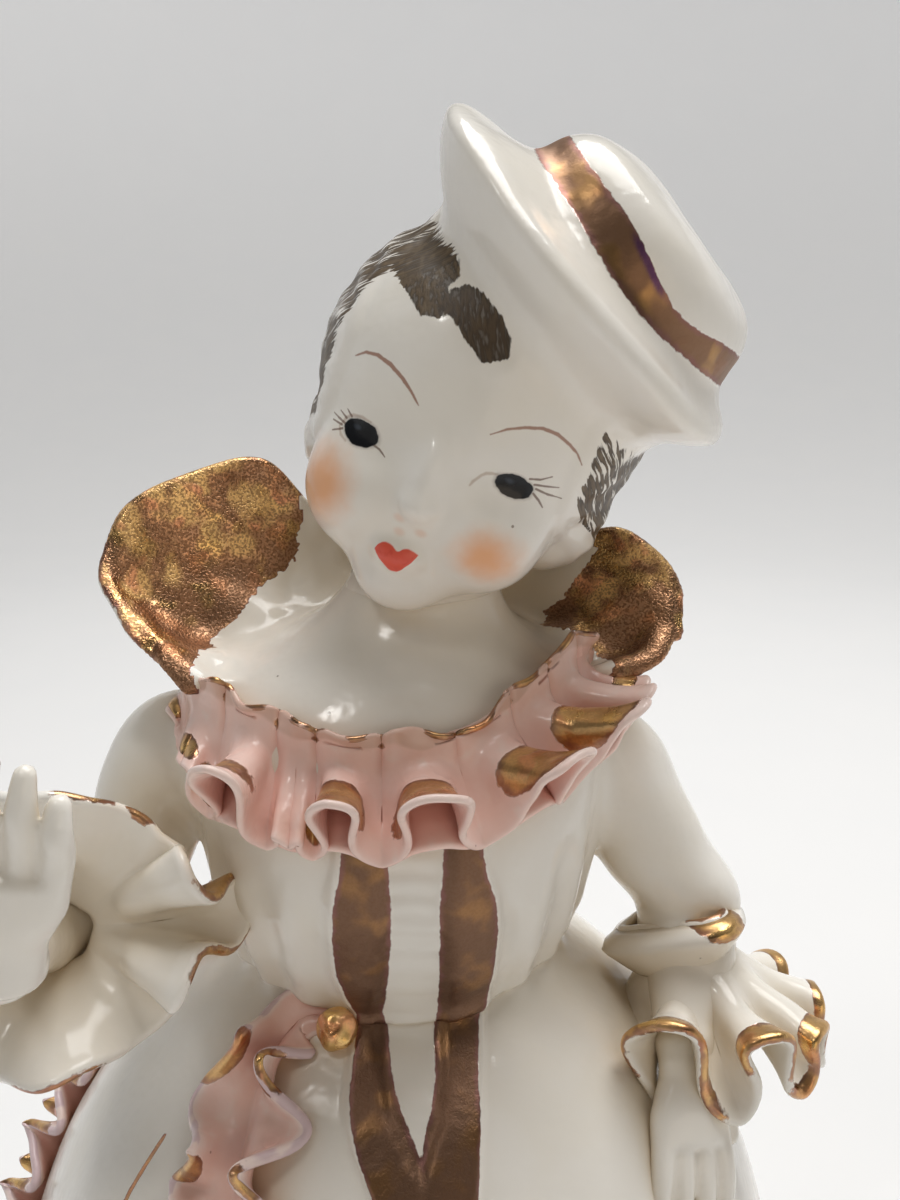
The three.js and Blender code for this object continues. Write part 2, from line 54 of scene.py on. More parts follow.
# --- Camera, lights and floor ---
def make_camera():
    data = bpy.data.cameras.new("camera")
    data.lens = 30.15
    data.sensor_width = 36
    data.clip_start = 0.004
    data.clip_end = 20
    camera = bpy.data.objects.new("camera", data)
    camera.location = (-0.0092, -0.0982, 0.160)
    pitch, yaw = math.radians(15), math.radians(8.4)
    camera.rotation_euler = (math.pi / 2 - pitch, 0, -yaw)
    bpy.context.scene.collection.objects.link(camera)
    bpy.context.scene.camera = camera


def soft_light(name, place, target, size, power, colour):
    data = bpy.data.lights.new(name, "AREA")
    data.shape = "RECTANGLE"
    data.size, data.size_y = size
    data.energy = power
    data.color = colour
    lamp = bpy.data.objects.new(name, data)
    lamp.location = place
    lamp.rotation_euler = (Vector(target) - Vector(place)).to_track_quat("-Z", "Y").to_euler()
    bpy.context.scene.collection.objects.link(lamp)


def make_world():
    world = bpy.data.worlds.new("studio")
    world.use_nodes = True
    bpy.context.scene.world = world
    background = world.node_tree.nodes["Background"]
    background.inputs[0].default_value = (1, 0.95, 0.87, 1)
    background.inputs[1].default_value = 0.08


# --- Curves, interpolation and noise ---
def smoothstep(x, low, high):
    t = np.clip((np.asarray(x, float) - low) / (high - low), 0, 1)
    return t * t * (3 - 2 * t)


def lerp(a, b, t):
    return a + (b - a) * t


def unit(v):
    return v / np.maximum(np.linalg.norm(v, axis=-1, keepdims=True), 1e-12)


def curve(points, share):
    """Centripetal Catmull-Rom through points, at shares of the number of spans."""
    p = np.asarray(points, float)
    last = len(p) - 1
    place = np.clip(np.asarray(share, float), 0, 1) * last
    i = np.minimum(place.astype(int), last - 1)
    w = (place - i)[..., None]
    padded = np.vstack([2 * p[0] - p[1], p, 2 * p[-1] - p[-2]])
    p0, p1, p2, p3 = (padded[i + k] for k in range(4))
    gap = lambda a, b: np.maximum(np.linalg.norm(b - a, axis=-1, keepdims=True) ** 0.5, 1e-4)
    d0, d1, d2 = gap(p0, p1), gap(p1, p2), gap(p2, p3)
    m1 = ((p1 - p0) / d0 - (p2 - p0) / (d0 + d1) + (p2 - p1) / d1) * d1
    m2 = ((p2 - p1) / d1 - (p3 - p1) / (d1 + d2) + (p3 - p2) / d2) * d1
    return p1 + m1 * w + (3 * (p2 - p1) - 2 * m1 - m2) * w ** 2 + (2 * (p1 - p2) + m1 + m2) * w ** 3


def even_curve(points, share):
    """The same curve, with shares measured along its length."""
    raw = np.linspace(0, 1, 600)
    steps = np.linalg.norm(np.diff(curve(points, raw), axis=0), axis=1)
    length = np.concatenate([[0], np.cumsum(steps)])
    return curve(points, np.interp(share, length / length[-1], raw))


def wobble(p, size, seed, waves=14):
    """Smooth noise from about -1 to 1 with features of the given size."""
    random = np.random.default_rng(seed)
    directions = unit(random.normal(size=(waves, 3)))
    rates = TAU / size * random.uniform(0.55, 1.25, waves)
    phases = random.uniform(0, TAU, waves)
    total = np.zeros(np.shape(p)[:-1])
    for direction, rate, phase in zip(directions, rates, phases):
        total += np.cos(np.asarray(p) @ direction * rate + phase)
    return total / math.sqrt(waves / 2) / 1.6


# --- The dress: sections from the hem to the neck, as in the CAD part ---
SECTIONS = np.array([  # z, width, depth, x, y
    (3, 46.5, 43.5, 0, 0), (20, 47.0, 44.0, 0, 0), (40, 46.0, 43.0, 0, 0), (58, 43.0, 40.0, 0, 0),
    (72, 38.2, 35.0, 0, 0), (82, 32.0, 29.5, 0, 0), (90, 24.5, 23.0, 0, 0), (96, 17.6, 15.0, 0, 0),
    (102, 18.6, 15.8, 0, -0.5), (109, 20.3, 17.6, 0, -1.0), (116, 21.0, 17.6, 0, -1.2),
    (122, 20.8, 15.6, 0, -1.2), (126, 18.6, 13.6, 0.2, -1.0), (129.5, 13.6, 11.0, 0.8, -0.6),
    (132.5, 9.8, 8.6, 1.6, -0.3), (136, 7.6, 7.2, 2.6, 0), (142, 7.0, 6.8, 4.0, 0.8),
    (149, 6.8, 6.8, 6.0, 1.4)])
WIDTH, DEPTH, MID_X, MID_Y = 1, 2, 3, 4
WAIST_HEIGHT = 96


def column(k, z):
    z = np.asarray(z, float)
    heights, values = SECTIONS[:, 0], SECTIONS[:, k]
    last = len(heights) - 1
    i = np.clip(np.searchsorted(heights, z, side="left") - 1, 0, last - 1)
    before, after = np.maximum(i - 1, 0), np.minimum(i + 2, last)
    span = heights[i + 1] - heights[i]
    t = np.clip((z - heights[i]) / span, 0, 1)
    m0 = (values[i + 1] - values[before]) / (heights[i + 1] - heights[before]) * span
    m1 = (values[after] - values[i]) / (heights[after] - heights[i]) * span
    return ((2 * t ** 3 - 3 * t ** 2 + 1) * values[i] + (t ** 3 - 2 * t ** 2 + t) * m0
            + (3 * t ** 2 - 2 * t ** 3) * values[i + 1] + (t ** 3 - t ** 2) * m1)


def dress_point(turn, z, proud=0.0, bodice=False):
    fall = np.clip(1 - z / WAIST_HEIGHT, 0, 1)
    folds = 1.9 * fall ** 1.2 * (0.6 * np.cos(12 * turn + 0.8) + 0.5 * np.cos(7 * turn - 0.9))
    round_turn = np.arctan2(np.sin(turn), np.cos(turn))
    at_waist = smoothstep(z, 94, 99) * (1 - smoothstep(z, 104, 116))
    tucks = 0.45 * at_waist * np.cos(20 * turn) * smoothstep(np.abs(round_turn), 0.35, 0.6)
    step = 0.9 * (1 - smoothstep(z, 100, 112)) if bodice else 0.0
    out = folds + tucks + step + proud
    near_edge = smoothstep(z, 84, 92) * (1 - smoothstep(z, 98, 110))
    dip = 1.6 * np.exp(-(round_turn / 0.6) ** 2) * near_edge
    girth = z - 0.7 * dip
    return np.stack(np.broadcast_arrays(
        column(MID_X, z) + (column(WIDTH, girth) + out) * np.sin(turn),
        column(MID_Y, z) - (column(DEPTH, girth) + out) * np.cos(turn),
        z - dip), axis=-1)


def dress_normal(turn, z):
    along = dress_point(turn + 0.02, z) - dress_point(turn - 0.02, z)
    up = dress_point(turn, z + 1) - dress_point(turn, z - 1)
    return unit(np.cross(along, up))


# The two raised bands of the front: z, then the outer and inner edge of the one on the figure's
# right, and the inner and outer edge of the other.
BAND_EDGES = np.array([
    (67, -1.0, -0.8, -0.8, -0.6), (74, -3.0, 0.0, -1.6, 1.6), (80, -4.4, 0.0, -1.6, 3.0),
    (86, -5.5, 0.0, -1.8, 4.1), (88.4, -6.5, -0.9, -1.1, 4.5), (89.9, -7.1, -1.8, -0.4, 4.8),
    (91.2, -7.3, -2.5, 0.4, 5.1), (92.4, -7.3, -3.1, 1.1, 5.3), (94.2, -6.8, -3.4, 1.5, 6.0),
    (96.2, -6.4, -3.5, 1.75, 6.6), (97.6, -6.3, -3.8, 1.9, 6.9), (99.2, -7.0, -3.55, 1.95, 7.1),
    (103, -8.2, -3.35, 1.9, 7.45), (107, -8.6, -3.2, 1.85, 7.7), (110.5, -8.7, -3.15, 1.75, 7.4),
    (114, -8.1, -3.45, 2.1, 6.4), (119, -7.6, -3.9, 2.5, 5.8)])
BAND_TIP, BAND_TOP = 67.5, 120


def band_distance(turn, z):
    """Millimetres inside the outline of the bands: (the one on the right, the other one)."""
    x = column(WIDTH, z) * np.sin(turn)
    outer_r, inner_r, inner_l, outer_l = (np.interp(z, BAND_EDGES[:, 0], BAND_EDGES[:, k]) for k in range(1, 5))
    ends = np.minimum(z - BAND_TIP, BAND_TOP - z)
    front = np.cos(turn) > 0
    right = np.minimum(np.minimum(x - outer_r, inner_r - x), ends)
    left = np.minimum(np.minimum(x - inner_l, outer_l - x), ends)
    return np.where(front, right, -20), np.where(front, left, -20)


def front_relief(turn, z):
    """The bands stand proud, with fine ribs across the panel between them."""
    right, left = band_distance(turn, z)
    band = np.maximum(right, left)
    height = 0.85 * smoothstep(band, -0.25, 0.9)
    height -= 0.3 * np.exp(-((z - 98.2) / 0.5) ** 2) * smoothstep(right, -0.4, 0.6)
    x = column(WIDTH, z) * np.sin(turn)
    between = np.minimum(x + 3.4, 1.9 - x)
    panel = smoothstep(between, -0.1, 0.7) * smoothstep(z, 87.5, 90) * (1 - smoothstep(band, -0.5, 0.1))
    ribs = np.abs(np.cos(math.pi * (z + 0.25 * np.sin(0.9 * x)) / 2.25)) ** 0.8 - 0.5
    return height + 0.3 * panel * ribs * (np.cos(turn) > 0)


# --- Meshes ---
def loft(rings):
    """Points and faces of a closed body through rings of points, anticlockwise from the far end."""
    rings = np.asarray(rings, float)
    levels, sides = rings.shape[:2]
    points = np.vstack([rings.reshape(-1, 3), rings[0].mean(0), rings[-1].mean(0)])
    i, j = np.meshgrid(np.arange(levels - 1), np.arange(sides), indexing="ij")
    a, b = i * sides + j, i * sides + (j + 1) % sides
    quads = np.stack([a, b, b + sides, a + sides], -1).reshape(-1, 4)
    j = np.arange(sides)
    k = (j + 1) % sides
    top = (levels - 1) * sides
    first, last = levels * sides, levels * sides + 1
    caps = np.vstack([np.stack([np.full(sides, first), k, j], -1),
                      np.stack([np.full(sides, last), top + j, top + k], -1)])
    return points, quads, caps


def limb_rings(stations, sides, steps, facing, ripple=None):
    """Rings along a smooth path of (x, y, z, radius, flatness) stations, with round ends."""
    stations = np.asarray(stations, float)
    ends = np.array([0.0, 0.004, 0.012])
    shares = np.concatenate([ends, np.linspace(0.03, 0.97, steps), 1 - ends[::-1]])
    centre = curve(stations[:, :3], shares)
    ahead = curve(stations[:, :3], np.minimum(shares + 0.004, 1))
    behind = curve(stations[:, :3], np.maximum(shares - 0.004, 0))
    along = unit(ahead - behind)
    place = shares * (len(stations) - 1)
    radius = np.interp(place, np.arange(len(stations)), stations[:, 3])
    flat = np.interp(place, np.arange(len(stations)), stations[:, 4])
    rounding = (0.35, 0.72, 0.93)
    closing = np.ones(len(shares))
    closing[:3], closing[-3:] = rounding, rounding[::-1]
    wide = unit(np.cross(along, np.asarray(facing, float)))
    thick = np.cross(wide, along)
    angle = np.linspace(0, TAU, sides, endpoint=False)
    ring = (centre[:, None] + wide[:, None] * (radius * closing)[:, None, None] * np.cos(angle)[:, None]
            - thick[:, None] * (radius * closing * flat)[:, None, None] * np.sin(angle)[:, None])
    if ripple:
        out = unit(ring - centre[:, None])
        ring = ring + out * ripple(shares[:, None], angle[None, :], ring)[..., None]
    return ring


def add_mesh(name, points, faces, material, **attributes):
    """A smooth shaded mesh object in metres, with float attributes on its points."""
    mesh = bpy.data.meshes.new(name)
    lists = [np.asarray(f) for f in faces]
    sizes = np.concatenate([np.full(len(f), f.shape[1]) for f in lists])
    mesh.vertices.add(len(points))
    mesh.vertices.foreach_set("co", (np.asarray(points) * MM).astype(np.float32).ravel())
    mesh.loops.add(int(sizes.sum()))
    mesh.loops.foreach_set("vertex_index", np.concatenate([f.ravel() for f in lists]).astype(np.int32))
    mesh.polygons.add(len(sizes))
    mesh.polygons.foreach_set("loop_start", np.concatenate([[0], np.cumsum(sizes)[:-1]]).astype(np.int32))
    mesh.polygons.foreach_set("use_smooth", np.ones(len(sizes), bool))
    mesh.update(calc_edges=True)
    mesh.validate()
    for key, values in attributes.items():
        values = np.asarray(values, np.float32)
        if values.ndim == 2:
            mesh.attributes.new(key, "FLOAT_VECTOR", "POINT").data.foreach_set("vector", values.ravel())
        else:
            mesh.attributes.new(key, "FLOAT", "POINT").data.foreach_set("value", values)
    mesh.materials.append(material)
    piece = bpy.data.objects.new(name, mesh)
    bpy.context.scene.collection.objects.link(piece)
    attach(piece, "root")
    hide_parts(NODE)
    return piece


# --- Distance fields, for forms that run into each other as soft clay ---
class Field:
    """Signed distances in millimetres on an even grid, negative inside."""

    REACH = 4.2
    RELAX_PASSES = 3

    def __init__(self, low, high, step):
        self.step = step
        self.corner = np.floor(np.asarray(low) / step).astype(int)
        self.shape = tuple(np.ceil(np.asarray(high) / step).astype(int) - self.corner)
        self.values = np.full(self.shape, self.REACH, np.float32)

    def axes(self):
        return [(self.corner[k] + np.arange(self.shape[k])) * self.step for k in range(3)]

    def of_mesh(self, points, quads, triangles):
        level = openvdb.FloatGrid.createLevelSetFromPolygons(
            np.ascontiguousarray(points, np.float32),
            triangles=np.ascontiguousarray(triangles, np.uint32),
            quads=np.ascontiguousarray(quads, np.uint32),
            transform=openvdb.createLinearTransform(voxelSize=self.step),
            halfWidth=self.REACH / self.step)
        values = np.full(self.shape, self.REACH, np.float32)
        level.copyToArray(values, ijk=tuple(int(c) for c in self.corner))
        return values

    def join(self, values, soft):
        self.values = soft_min(self.values, values, soft)

    def join_mesh(self, mesh, soft):
        self.join(self.of_mesh(*mesh), soft)

    def blur(self):
        for k in range(3):
            v = np.moveaxis(self.values, k, 0)
            v[1:-1] = (v[:-2] + 2 * v[1:-1] + v[2:]) / 4

    def sample(self, p):
        """Trilinear values and gradients at points."""
        q = np.asarray(p) / self.step - self.corner
        q = np.clip(q, 0.001, np.array(self.shape) - 1.001)
        i = q.astype(int)
        f = q - i
        flat = self.values.ravel()
        sy, sz = self.shape[1] * self.shape[2], self.shape[2]
        base = i[:, 0] * sy + i[:, 1] * sz + i[:, 2]
        c = {(a, b, d): flat[base + a * sy + b * sz + d] for a in (0, 1) for b in (0, 1) for d in (0, 1)}
        x, y, z = f.T
        mix = lambda u, v, t: u + (v - u) * t
        c00, c10 = mix(c[0, 0, 0], c[1, 0, 0], x), mix(c[0, 1, 0], c[1, 1, 0], x)
        c01, c11 = mix(c[0, 0, 1], c[1, 0, 1], x), mix(c[0, 1, 1], c[1, 1, 1], x)
        c0, c1 = mix(c00, c10, y), mix(c01, c11, y)
        gx = mix(mix(c[1, 0, 0] - c[0, 0, 0], c[1, 1, 0] - c[0, 1, 0], y),
                 mix(c[1, 0, 1] - c[0, 0, 1], c[1, 1, 1] - c[0, 1, 1], y), z)
        gy = mix(c10 - c00, c11 - c01, z)
        return mix(c0, c1, z), np.stack([gx, gy, c1 - c0], -1) / self.step

    def mesh(self):
        """Points and quads of the surface, evened out along it."""
        grid = openvdb.FloatGrid(self.REACH)
        grid.copyFromArray(np.ascontiguousarray(self.values), ijk=tuple(int(c) for c in self.corner))
        grid.transform = openvdb.createLinearTransform(voxelSize=self.step)
        points, quads = grid.convertToQuads(0.0)
        points, quads = points.astype(float), quads.astype(np.int64)[:, ::-1]
        edges = np.vstack([quads[:, [0, 1]], quads[:, [1, 2]], quads[:, [2, 3]], quads[:, [3, 0]]])
        count = np.bincount(edges.ravel(), minlength=len(points))[:, None]
        for _ in range(self.RELAX_PASSES):
            total = np.stack([np.bincount(edges[:, 0], points[edges[:, 1], k], len(points))
                              + np.bincount(edges[:, 1], points[edges[:, 0], k], len(points))
                              for k in range(3)], -1)
            points = lerp(points, total / np.maximum(count, 1), 0.6)
            distance, gradient = self.sample(points)
            steep = np.maximum((gradient ** 2).sum(-1), 0.25)
            points = points - gradient * np.clip(distance / steep, -0.3, 0.3)[:, None]
        return points, quads


def soft_min(a, b, soft):
    h = np.maximum(soft - np.abs(a - b), 0) / soft
    return np.minimum(a, b) - h * h * soft / 4


def ellipsoid(p, centre, radii):
    q = p - np.asarray(centre, p.dtype)
    k0 = np.sqrt(((q / np.asarray(radii, p.dtype)) ** 2).sum(-1))
    k1 = np.sqrt(((q / np.asarray(radii, p.dtype) ** 2) ** 2).sum(-1))
    return k0 * (k0 - 1) / np.maximum(k1, 1e-6)


# --- The head in its own frame: x to the figure's left, -y out of the face, z up ---
HEAD_CENTRE = np.array([8.1, 0.8, 153.2])
HEAD_ROTATION = np.array(
    Matrix.Rotation(math.radians(-18), 3, "Z")
    @ Matrix.Rotation(math.radians(19.5), 3, "Y")
    @ Matrix.Rotation(math.radians(2), 3, "X"))
SKULL = ((0, 0.6, 0.4), (15.4, 15.4, 15.6))
HEAD_MASSES = [  # centre, radii, softness of the join
    ((-0.3, -4.6, -7.4), (11.3, 11.6, 10.9), 4), ((-6.3, -9.8, -9.5), (5.2, 5.2, 5.2), 3),
    ((5.8, -10.0, -9.6), (5.0, 5.0, 5.0), 3), ((-0.3, -11.6, -15.8), (3.9, 3.8, 3.0), 3),
    ((0, -15.6, -5.6), (1.3, 1.7, 3.4), 1.6), ((0, -16.4, -7.6), (1.6, 1.5, 1.2), 1.0),
    ((-0.5, -14.9, -12.7), (2.3, 1.5, 1.4), 1.2),
    ((-10.4, 2.4, -7.6), (5.2, 7.6, 6.6), 0.9), ((10.4, 2.4, -7.6), (5.2, 7.6, 6.6), 0.9),
    ((0, 13.4, -5.6), (8.4, 6.4, 7.4), 2), ((0, 5.0, 1.4), (16.9, 13.5, 16.2), 1.5)]
EYE_HOLLOWS = [((-6.4, -17.6, -3.8), (3.6, 2.9, 2.4), 2), ((6.4, -17.6, -3.8), (3.6, 2.9, 2.4), 2)]


def to_head(p):
    return (p - HEAD_CENTRE.astype(p.dtype)) @ HEAD_ROTATION.astype(p.dtype)


HAIR_RIDGE = np.array([  # z, y of the front edge of the moulded hair
    (-14, 3.0), (-10, -3.0), (-7.5, -8.0), (-5.3, -9.8), (-2.5, -10.2), (0.6, -10.1), (3.9, -9.5), (6, -8.4),
    (9.3, -5.8), (12, -3.6), (17, 1.0)])


def hair_relief(q):
    """How far the moulded hair stands out of the head, with soft locks across it."""
    x, y, z = q[..., 0], q[..., 1], q[..., 2]
    inside = y - np.interp(z, HAIR_RIDGE[:, 0], HAIR_RIDGE[:, 1])
    turn = np.arctan2(x, -y)
    locks = np.sin(1.15 * z + 3.2 * np.sin(2.2 * turn + 0.35 * z)) + 0.5 * np.sin(2.3 * z - 9 * turn)
    rough = 0.14 * locks * smoothstep(inside, 0.4, 2.5)
    return ((0.42 + rough) * smoothstep(inside, -0.35, 0.55) * smoothstep(np.abs(x) + 0.8 * np.maximum(y, 0), 7.5, 9.5)
            * smoothstep(z, -15, -11))


def head_distance(p):
    d = ellipsoid(p, *SKULL)
    for centre, radii, soft in HEAD_MASSES:
        d = soft_min(d, ellipsoid(p, centre, radii), soft)
    for centre, radii, soft in EYE_HOLLOWS:
        d = -soft_min(-d, ellipsoid(p, centre, radii), soft)
    return d


HAT_CENTRE = np.array([18.8, 0, 164.9])
HAT_AXIS = unit(np.array([0.7, -0.32, 0.64]))
HAT_LOW = unit(np.array([0, 0, -1.0]) + HAT_AXIS * HAT_AXIS[2])
HAT_SIDE = np.cross(HAT_AXIS, HAT_LOW)
CROWN_SHIFT = 1.9
HAT_PROFILE = np.array([  # radius, height along the axis
    (11.5, -7.6), (14.4, -5.6), (17.0, -3.6), (19.2, -1.4), (20.0, 0.1), (19.2, 1.1), (16.6, 2.0),
    (14.2, 3.2), (13.6, 4.2), (12.8, 6.6), (11.2, 8.4), (7.6, 9.6), (3, 10.1)])


def hat_mesh():
    profile = curve(HAT_PROFILE, np.linspace(0, 1, 90))
    angle = np.linspace(0, TAU, 160, endpoint=False)
    r, h = profile[:, 0, None], profile[:, 1, None]
    low = r * np.cos(angle) + CROWN_SHIFT * smoothstep(h, 0.5, 4)
    side = r * np.sin(angle)
    rings = HAT_CENTRE + HAT_AXIS * h[..., None] + HAT_LOW * low[..., None] + HAT_SIDE * side[..., None]
    rings += HAT_AXIS * 0.25 * wobble(rings, 14, 21)[..., None]
    return loft(rings)


def hat_place(p):
    """Height along the hat's axis, radius and angle round the crown's own centre."""
    q = p - HAT_CENTRE
    h = q @ HAT_AXIS
    a = q @ HAT_LOW - CROWN_SHIFT * smoothstep(h, 0.5, 4)
    b = q @ HAT_SIDE
    return h, np.hypot(a, b), np.arctan2(b, a)


# --- The collar, arms and hands ---
COLLAR_END = math.radians(118)
COLLAR_RIM = [
    (-20.6, -5.6, 126.4), (-26.4, -0.4, 132.6), (-29.0, 4.8, 138.6), (-27.2, 7.2, 142.8),
    (-20.6, 9.8, 145.8), (-13.2, 11.4, 146.8), (-7.6, 12.6, 141.0), (1, 13.0, 136.5),
    (10, 12.0, 135.2), (17.5, 9.0, 136.6), (24.4, 4.8, 139.6), (28.2, 1.2, 136.8),
    (29.2, -2.2, 131.6), (26.4, -5.4, 127.8), (21.0, -7.2, 126.0)]


def collar_point(share, up):
    turn = lerp(-COLLAR_END, COLLAR_END, share)
    spread = np.abs(turn) / COLLAR_END
    rim = curve(COLLAR_RIM, share)
    outward = np.sin(up * math.pi / 2) ** 1.1
    upward = 1 - np.cos(up ** 1.05 * math.pi / 2)
    sag = -2.6 * np.sin(math.pi * np.minimum(up * 1.4, 1)) * (0.4 + 0.6 * spread)
    return np.stack([
        lerp(1 + 9.5 * np.sin(turn), rim[..., 0], outward),
        lerp(0.5 + 7.5 * np.cos(turn), rim[..., 1], outward),
        lerp(131 - 2 * spread, rim[..., 2], upward) + sag], -1)


def collar_sheet(share, up):
    """The collar's middle surface, gently uneven, and the normals of its inner face."""
    e = 1e-3
    ds = collar_point(np.clip(share + e, 0, 1), up) - collar_point(np.clip(share - e, 0, 1), up)
    dt = collar_point(share, np.clip(up + e, 0, 1)) - collar_point(share, np.clip(up - e, 0, 1))
    normal = unit(np.cross(ds, dt))
    middle = collar_point(share, up)
    uneven = 0.55 * wobble(middle, 9, 31) + 0.15 * wobble(middle, 4, 32)
    uneven = uneven * smoothstep(share, 0, 0.12) * (1 - smoothstep(share, 0.88, 1)) * smoothstep(up, 0, 0.3)
    return middle + normal * uneven[..., None], normal


RIGHT_ARM = [
    (-14, 1, 117.5, 5.5, 1), (-22.5, 2.8, 117.2, 6.6, 1), (-26.8, 3.2, 110, 5.8, 1),
    (-29.2, 0.6, 104, 5.6, 1), (-34.2, -7.5, 103.9, 3.5, 1), (-35.6, -14, 106.6, 3.0, 1),
    (-34.2, -24, 112.2, 3.0, 1), (-31.8, -31, 116.2, 3.1, 1)]
LEFT_ARM = [
    (14, 0.5, 117, 5.5, 1), (21.6, -0.6, 115.4, 6.0, 1), (26.6, -2.2, 107.5, 5.7, 1),
    (31.2, -4.2, 98, 5.7, 1), (30.3, -8.2, 92.6, 4.6, 1), (28.0, -12.6, 90.2, 3.3, 1),
    (27.2, -15.4, 88.6, 2.8, 1)]
HANDS = [  # wrist, along the fingers, back of the hand, side of the thumb, bend
    ((-31.5, -31, 116.8), (0.14, -0.2, 0.96), (0.2, 0.95, 0.2), 1, -0.1),
    ((27.1, -15.9, 88.4), (-0.08, -0.56, -0.82), (0.3, -0.74, 0.6), -1, 0.12)]
FINGERS = [(-2.9, 6.8), (-1.0, 8.6), (1.0, 9.0), (2.9, 7.6)]


def sleeve_folds(seed):
    def ripple(share, angle, ring):
        elbow = np.exp(-((share - 0.5) / 0.16) ** 2)
        return 0.35 * elbow * np.sin(34 * share + 2.2 * np.sin(angle)) + 0.22 * wobble(ring, 9, seed)
    return ripple


def hand_meshes(wrist, reach, back, thumb, bend):
    wrist, back = np.array(wrist, float), np.array(back, float)
    along = unit(np.array(reach, float))
    across = unit(np.cross(along, back)) * thumb
    out = unit(back - along * (back @ along))
    spot = lambda a, s, o=0.0: tuple(wrist + along * a + across * s + out * o)
    limbs = [[(*spot(-2.5, 0), 2.7, 0.9), (*spot(1.5, 0), 3.0, 0.7), (*spot(5, 0), 4.5, 0.5),
              (*spot(8, 0), 4.5, 0.42)]]
    for side, length in FINGERS:
        limbs.append([
            (*spot(5.5, side * 1.1), 1.2, 1), (*spot(7.6 + length * 0.3, side * 1.27, 0.15), 1.18, 1),
            (*spot(7.6 + length * 0.65, side * 1.3, -0.25), 1.05, 1),
            (*spot(7.6 + length, side * 1.22, -bend * length), 0.8, 1)])
    limbs.append([(*spot(1.4, 1.6), 1.5, 1), (*spot(4.6, 4.6, -0.6), 1.4, 1), (*spot(8.2, 5.8, -1.2), 0.95, 1)])
    return [loft(limb_rings(stations, 28, 26, out)) for stations in limbs]


# --- Fluted strips of clay ---
def arches(s, places, strengths, sharp=1.0):
    """Rounded arches at places: their height from 0 to 1, and the lean of their sides along the strip."""
    phase = np.interp(s, places, np.arange(len(places)))
    strength = np.interp(s, places, strengths)
    return (0.5 + 0.5 * np.cos(TAU * phase)) ** sharp * strength, np.sin(2 * TAU * phase) * strength


def strip(surface, along, across, thickness, closed=False):
    """A strip of clay with rounded edges over surface(s, t), as points, faces and their (s, t, side).

    s runs along it and t across it, from 0 to 1, and side is 1 on its face and -1 on its back.
    """
    s = np.linspace(0, 1, along, endpoint=not closed)
    t = np.linspace(0, 1, across)
    S, T = np.meshgrid(s, t, indexing="ij")
    e = 1e-3
    middle = surface(S, T)
    ds = surface(S + e, T) - surface(S - e, T)
    dt = surface(S, np.minimum(T + e, 1)) - surface(S, np.maximum(T - e, 0))
    normal, outward = unit(np.cross(dt, ds)), unit(dt)
    half = (thickness(T) + 0 * S)[..., None] / 2
    if not closed:
        ends = np.sqrt(np.clip(np.minimum(S, 1 - S) * along / 5, 0.02, 1))[..., None]
        half = half * ends
    over, under = middle + normal * half, middle - normal * half
    turns = np.linspace(0, math.pi, 7)[1:-1]

    def lip(k, sign):
        return [middle[:, k] + (normal[:, k] * math.cos(a) + sign * outward[:, k] * math.sin(a)) * half[:, k]
                for a in turns]

    hem, heading = lip(-1, 1), lip(0, -1)[::-1]
    columns = [over[:, k] for k in range(across)] + hem + [under[:, k] for k in range(across)[::-1]] + heading
    rings = np.stack(columns, 1)
    ones = np.ones(len(turns))
    t_ring = np.concatenate([t, ones, t[::-1], 0 * ones])
    side = np.concatenate([np.ones(across), np.cos(turns), -np.ones(across), -np.cos(turns)[::-1]])
    n, m = rings.shape[:2]
    i, j = np.meshgrid(np.arange(n if closed else n - 1), np.arange(m), indexing="ij")
    a, b = i * m + j, ((i + 1) % n) * m + j
    c, d = ((i + 1) % n) * m + (j + 1) % m, i * m + (j + 1) % m
    quads = np.stack([a, b, c, d], -1).reshape(-1, 4)
    points = rings.reshape(-1, 3)
    places = [np.repeat(s, m), np.tile(t_ring, n), np.tile(side, n)]
    faces = [quads]
    if not closed:
        j = np.arange(m)
        k = (j + 1) % m
        first, last = n * m, n * m + 1
        points = np.vstack([points, rings[0].mean(0), rings[-1].mean(0)])
        faces.append(np.vstack([np.stack([np.full(m, first), j, k], -1),
                                np.stack([np.full(m, last), (n - 1) * m + k, (n - 1) * m + j], -1)]))
        places = [np.append(places[0], [0, 1]), np.append(places[1], [0.5, 0.5]), np.append(places[2], [0, 0])]
    return points, faces, places


NECK_HEADING = [
    (-22.6, 3.0, 127.0), (-21.0, -3.5, 127.4), (-16.4, -9.0, 126.6), (-9.5, -14.4, 125.2),
    (-0.6, -17.0, 124.8), (5.6, -15.8, 125.8), (11.0, -12.4, 128.0), (16.2, -8.2, 130.2),
    (19.8, -3.5, 128.4)]
NECK_HEM = [
    (-23.4, 3.0, 121.6), (-21.8, -6.0, 119.6), (-18.6, -14.2, 116.8), (-10.5, -20.0, 116.0),
    (-1.0, -22.4, 115.9), (9.0, -20.6, 117.4), (16.6, -15.9, 120.0), (20.8, -10.8, 121.8),
    (22.6, -4.2, 121.2)]
NECK_LENGTH, NECK_WIDTH = 82, 11.5
NECK_ARCHES = ([-0.07, 0.06, 0.17, 0.298, 0.36, 0.412, 0.515, 0.645, 0.752, 0.84, 0.94, 1.06],
               [0.3, 0.3, 0.3, 1.12, 0.12, 0.95, 1.0, 0.95, 0.95, 0.75, 0.6, 0.5])
NECK_PLEATS = [0.115, 0.235, 0.33, 0.386, 0.463, 0.58, 0.70, 0.795, 0.89]
LIP = 0.12


